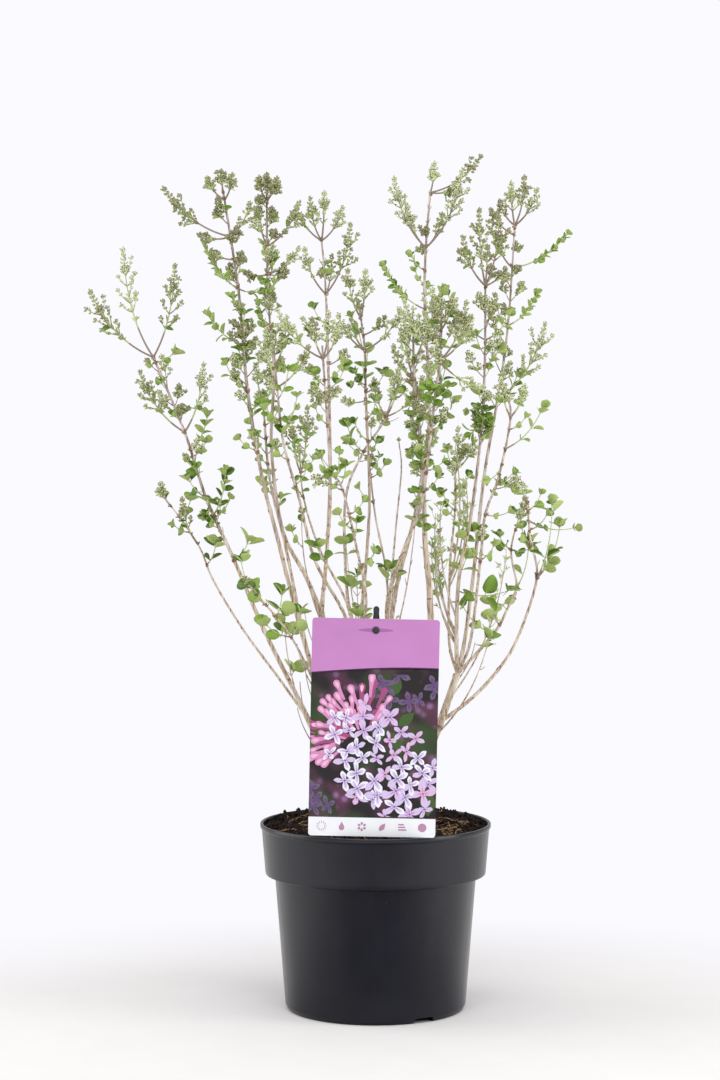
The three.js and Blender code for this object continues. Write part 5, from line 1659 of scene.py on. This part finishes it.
def grow_withes(head, lines, count):
    """Thin side shoots that rise from the stems and the low wands through the crown's middle."""
    for i in range(count):
        name, fork, _ = STEMS[i % len(STEMS)]
        at = lines[f"stem_{name}"].at(head.vary(0.55, 1))[0]
        out = unit(np.array((fork[0] + head.vary(-25, 25), 2.2 * fork[1] + head.vary(-30, 30), 0.0)))
        short = i % 3 == 2 or (fork[0] < 0 and i % 2 == 1)
        length = head.vary(30, 60) if short else head.vary(90, 160)
        grow_withe(head, at, out, head.vary(12, 34), length * MM, i % 2 == 0)
    for name, low, high, across, number in WITHES:
        line = lines[f"wand_{name}"]
        for _ in range(number):
            at = line.at(share_at(line, head.vary(low, high) * MM))[0]
            out = unit(np.array((across, head.vary(-1, 1), 0.0)))
            grow_withe(head, at, out, head.vary(3, 14), head.vary(70, 115) * MM, False)


def build_heads(look, wood):
    """The twigs, buds and leaves, in place of the CAD foliage."""
    lines, starts = grow_lines()
    twigs, leaflets, leaves = Growth(), Growth(), Growth()
    buds = [Growth() for _ in range(3)]
    for i, wand in enumerate(WANDS):
        if wand[5] or wand[6]:
            growths = (twigs, buds[3 * i // len(WANDS)], leaflets, leaves)
            head = Head(101 + 17 * i, growths, look, FULLNESS.get(wand[0], 1))
            grow_head(head, wand, lines[f"wand_{wand[0]}"], starts[wand[0]], wood.relief)
    growths = (twigs, buds[1], leaflets, leaves)
    at, forward, outs = stand_on(lines["wand_dead_twig"], 1)
    Head(5, growths, look).cluster(at, forward, outs, BUD["dusky"], 3)
    grow_withes(Head(7, growths, look, 0.6), lines, 21)
    made = twigs.piece("twigs", bark_finishes(wood) + [
        young_skin("stalk_woody", look.arm, 0.6), young_skin("stalk_green", look.shoot)],
        "bark")
    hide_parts(*cad_nodes("foliage_"))
    bud_skins = [young_skin(f"bud_{name}", colour, 0.55) for name, colour in (
        ("calyx", look.bud), ("calyx_pale", look.bud_pale), ("calyx_dusky", look.bud_dusky),
        ("tip", look.bud_tip))]
    for part, growth in zip(("left", "middle", "right"), buds):
        growth.piece(f"flower_buds_{part}", bud_skins, "foliage")
    leaflets.piece("leaflets", [young_skin("leaflet_green", look.leaflet),
                                young_skin("leaflet_pale", look.leaflet_pale)], "foliage", False)
    leaves.piece("leaves", [
        leaf_skin("fresh", look.leaf_fresh, 0.42), leaf_skin("mid", look.leaf_mid, 0.42),
        leaf_skin("deep", look.leaf_deep, 0.4), leaf_skin("back", look.leaf_back, 0.55),
        young_skin("leaf_stalk", look.shoot)], "foliage")


# ---- stage ----


# The soft lights: name, place, width and height in metres, and power in watts.
SOFTBOXES = [
    ("softbox_left", (-1.35, 0.1, 0.6), 1.1, 1.7, 10.5),
    ("softbox_right", (1.3, -0.45, 0.6), 0.7, 1.7, 10.5),
    ("softbox_top", (0.05, -1.6, 1.8), 2.2, 2.2, 25.5),
]
AIM = (0, 0, 0.3)  # where the lights point
CAMERA_X = -0.0128  # the camera stands a little to the left
FLOOR_RADIUS = 6
FLOOR_DROP = 0.0002  # the floor lies so far under the pot, so that the two don't share a face


def add_softbox(name, at, width, height, power):
    """Adds a rectangular soft light that points at the plant."""
    light = bpy.data.lights.new(name, "AREA")
    light.shape = "RECTANGLE"
    light.size, light.size_y = width, height
    light.energy = power
    made = bpy.data.objects.new(name, light)
    made.location = at
    made.rotation_euler = (Vector(AIM) - Vector(at)).to_track_quat("-Z", "Y").to_euler()
    bpy.context.scene.collection.objects.link(made)


def build_stage(stage):
    """The floor, the light and the camera."""
    scene = bpy.context.scene
    scene.view_settings.view_transform = "Standard"
    growth = Growth()
    lathe(growth, [(FLOOR_RADIUS, -0.02), (FLOOR_RADIUS, -FLOOR_DROP)], 96, 0)
    growth.piece("studio_floor", [studio_paper(stage.paper, stage.backdrop, stage.painted_room)],
                 None, False)
    world = bpy.data.worlds.new("studio")
    add = clear_tree(world)
    # The background is bright to look at, and gives the plant a softer light than that.
    seen = add("LightPath", output="Is Camera Ray")
    bright = add("Background", {"Color": stage.backdrop, "Strength": 1})
    soft = add("Background", {"Color": stage.backdrop, "Strength": stage.daylight})
    both = add("MixShader", {0: seen, 1: soft, 2: bright})
    add("OutputWorld", {"Surface": both}, None)
    scene.world = world
    for softbox in SOFTBOXES:
        add_softbox(*softbox)
    camera = bpy.data.cameras.new("camera")
    camera.lens = stage.focal_length
    camera.sensor_width = 36
    made = bpy.data.objects.new("camera", camera)
    made.location = (CAMERA_X, -stage.distance, stage.eye_height)
    made.rotation_euler = (math.pi / 2 - stage.pitch, 0, 0)
    scene.collection.objects.link(made)
    scene.camera = made


# ---- operators, panel and registration ----


class LILAC_OT_stage(bpy.types.Operator):
    """Sets up the floor, the lights and the camera"""
    bl_idname = "lilac.stage"
    bl_label = "Stage"

    def execute(self, context):
        build_stage(context.scene.lilac_stage)
        return {"FINISHED"}


class LILAC_OT_pot(bpy.types.Operator):
    """Makes the nursery pot"""
    bl_idname = "lilac.pot"
    bl_label = "Pot"

    def execute(self, context):
        build_pot(context.scene.lilac_pot)
        return {"FINISHED"}


class LILAC_OT_soil(bpy.types.Operator):
    """Makes the compost with its crumbs and dry roots"""
    bl_idname = "lilac.soil"
    bl_label = "Soil"

    def execute(self, context):
        build_soil(context.scene.lilac_soil)
        return {"FINISHED"}


class LILAC_OT_label(bpy.types.Operator):
    """Makes the picture label and the stake that holds it"""
    bl_idname = "lilac.label"
    bl_label = "Label"

    def execute(self, context):
        build_label(context.scene.lilac_label)
        return {"FINISHED"}


class LILAC_OT_wood(bpy.types.Operator):
    """Makes the root crown, stems and boughs with their bark"""
    bl_idname = "lilac.wood"
    bl_label = "Wood"

    def execute(self, context):
        build_wood(context.scene.lilac_wood)
        return {"FINISHED"}


class LILAC_OT_heads(bpy.types.Operator):
    """Grows the twigs, flower buds and leaves on from the boughs"""
    bl_idname = "lilac.heads"
    bl_label = "Twigs, buds and leaves"

    def execute(self, context):
        build_heads(context.scene.lilac_head, context.scene.lilac_wood)
        return {"FINISHED"}


class LILAC_PT_panel(bpy.types.Panel):
    """Lists the lilac's pieces and their settings"""
    bl_idname = "LILAC_PT_panel"
    bl_label = "Potted Lilac"
    bl_space_type = "VIEW_3D"
    bl_region_type = "UI"
    bl_category = "Lilac"

    def draw(self, context):
        for operator, group in STEPS:
            box = self.layout.box()
            box.operator(operator.bl_idname)
            settings = getattr(context.scene, group)
            for name in settings.__annotations__:
                box.prop(settings, name)


SETTINGS = {
    "lilac_stage": StageSettings, "lilac_pot": PotSettings, "lilac_soil": SoilSettings,
    "lilac_label": LabelSettings, "lilac_wood": WoodSettings, "lilac_head": HeadSettings,
}
STEPS = [
    (LILAC_OT_stage, "lilac_stage"), (LILAC_OT_pot, "lilac_pot"), (LILAC_OT_soil, "lilac_soil"),
    (LILAC_OT_label, "lilac_label"), (LILAC_OT_wood, "lilac_wood"), (LILAC_OT_heads, "lilac_head"),
]


def register():
    for name, group in SETTINGS.items():
        bpy.utils.register_class(group)
        setattr(bpy.types.Scene, name, PointerProperty(type=group))
    for operator, _ in STEPS:
        bpy.utils.register_class(operator)
    bpy.utils.register_class(LILAC_PT_panel)


def unregister():
    bpy.utils.unregister_class(LILAC_PT_panel)
    for operator, _ in reversed(STEPS):
        bpy.utils.unregister_class(operator)
    for name, group in SETTINGS.items():
        delattr(bpy.types.Scene, name)
        bpy.utils.unregister_class(group)


def main():
    register()
    bpy.ops.lilac.stage()
    bpy.ops.lilac.pot()
    bpy.ops.lilac.soil()
    bpy.ops.lilac.label()
    bpy.ops.lilac.wood()
    bpy.ops.lilac.heads()


if __name__ == "__main__":
    main()
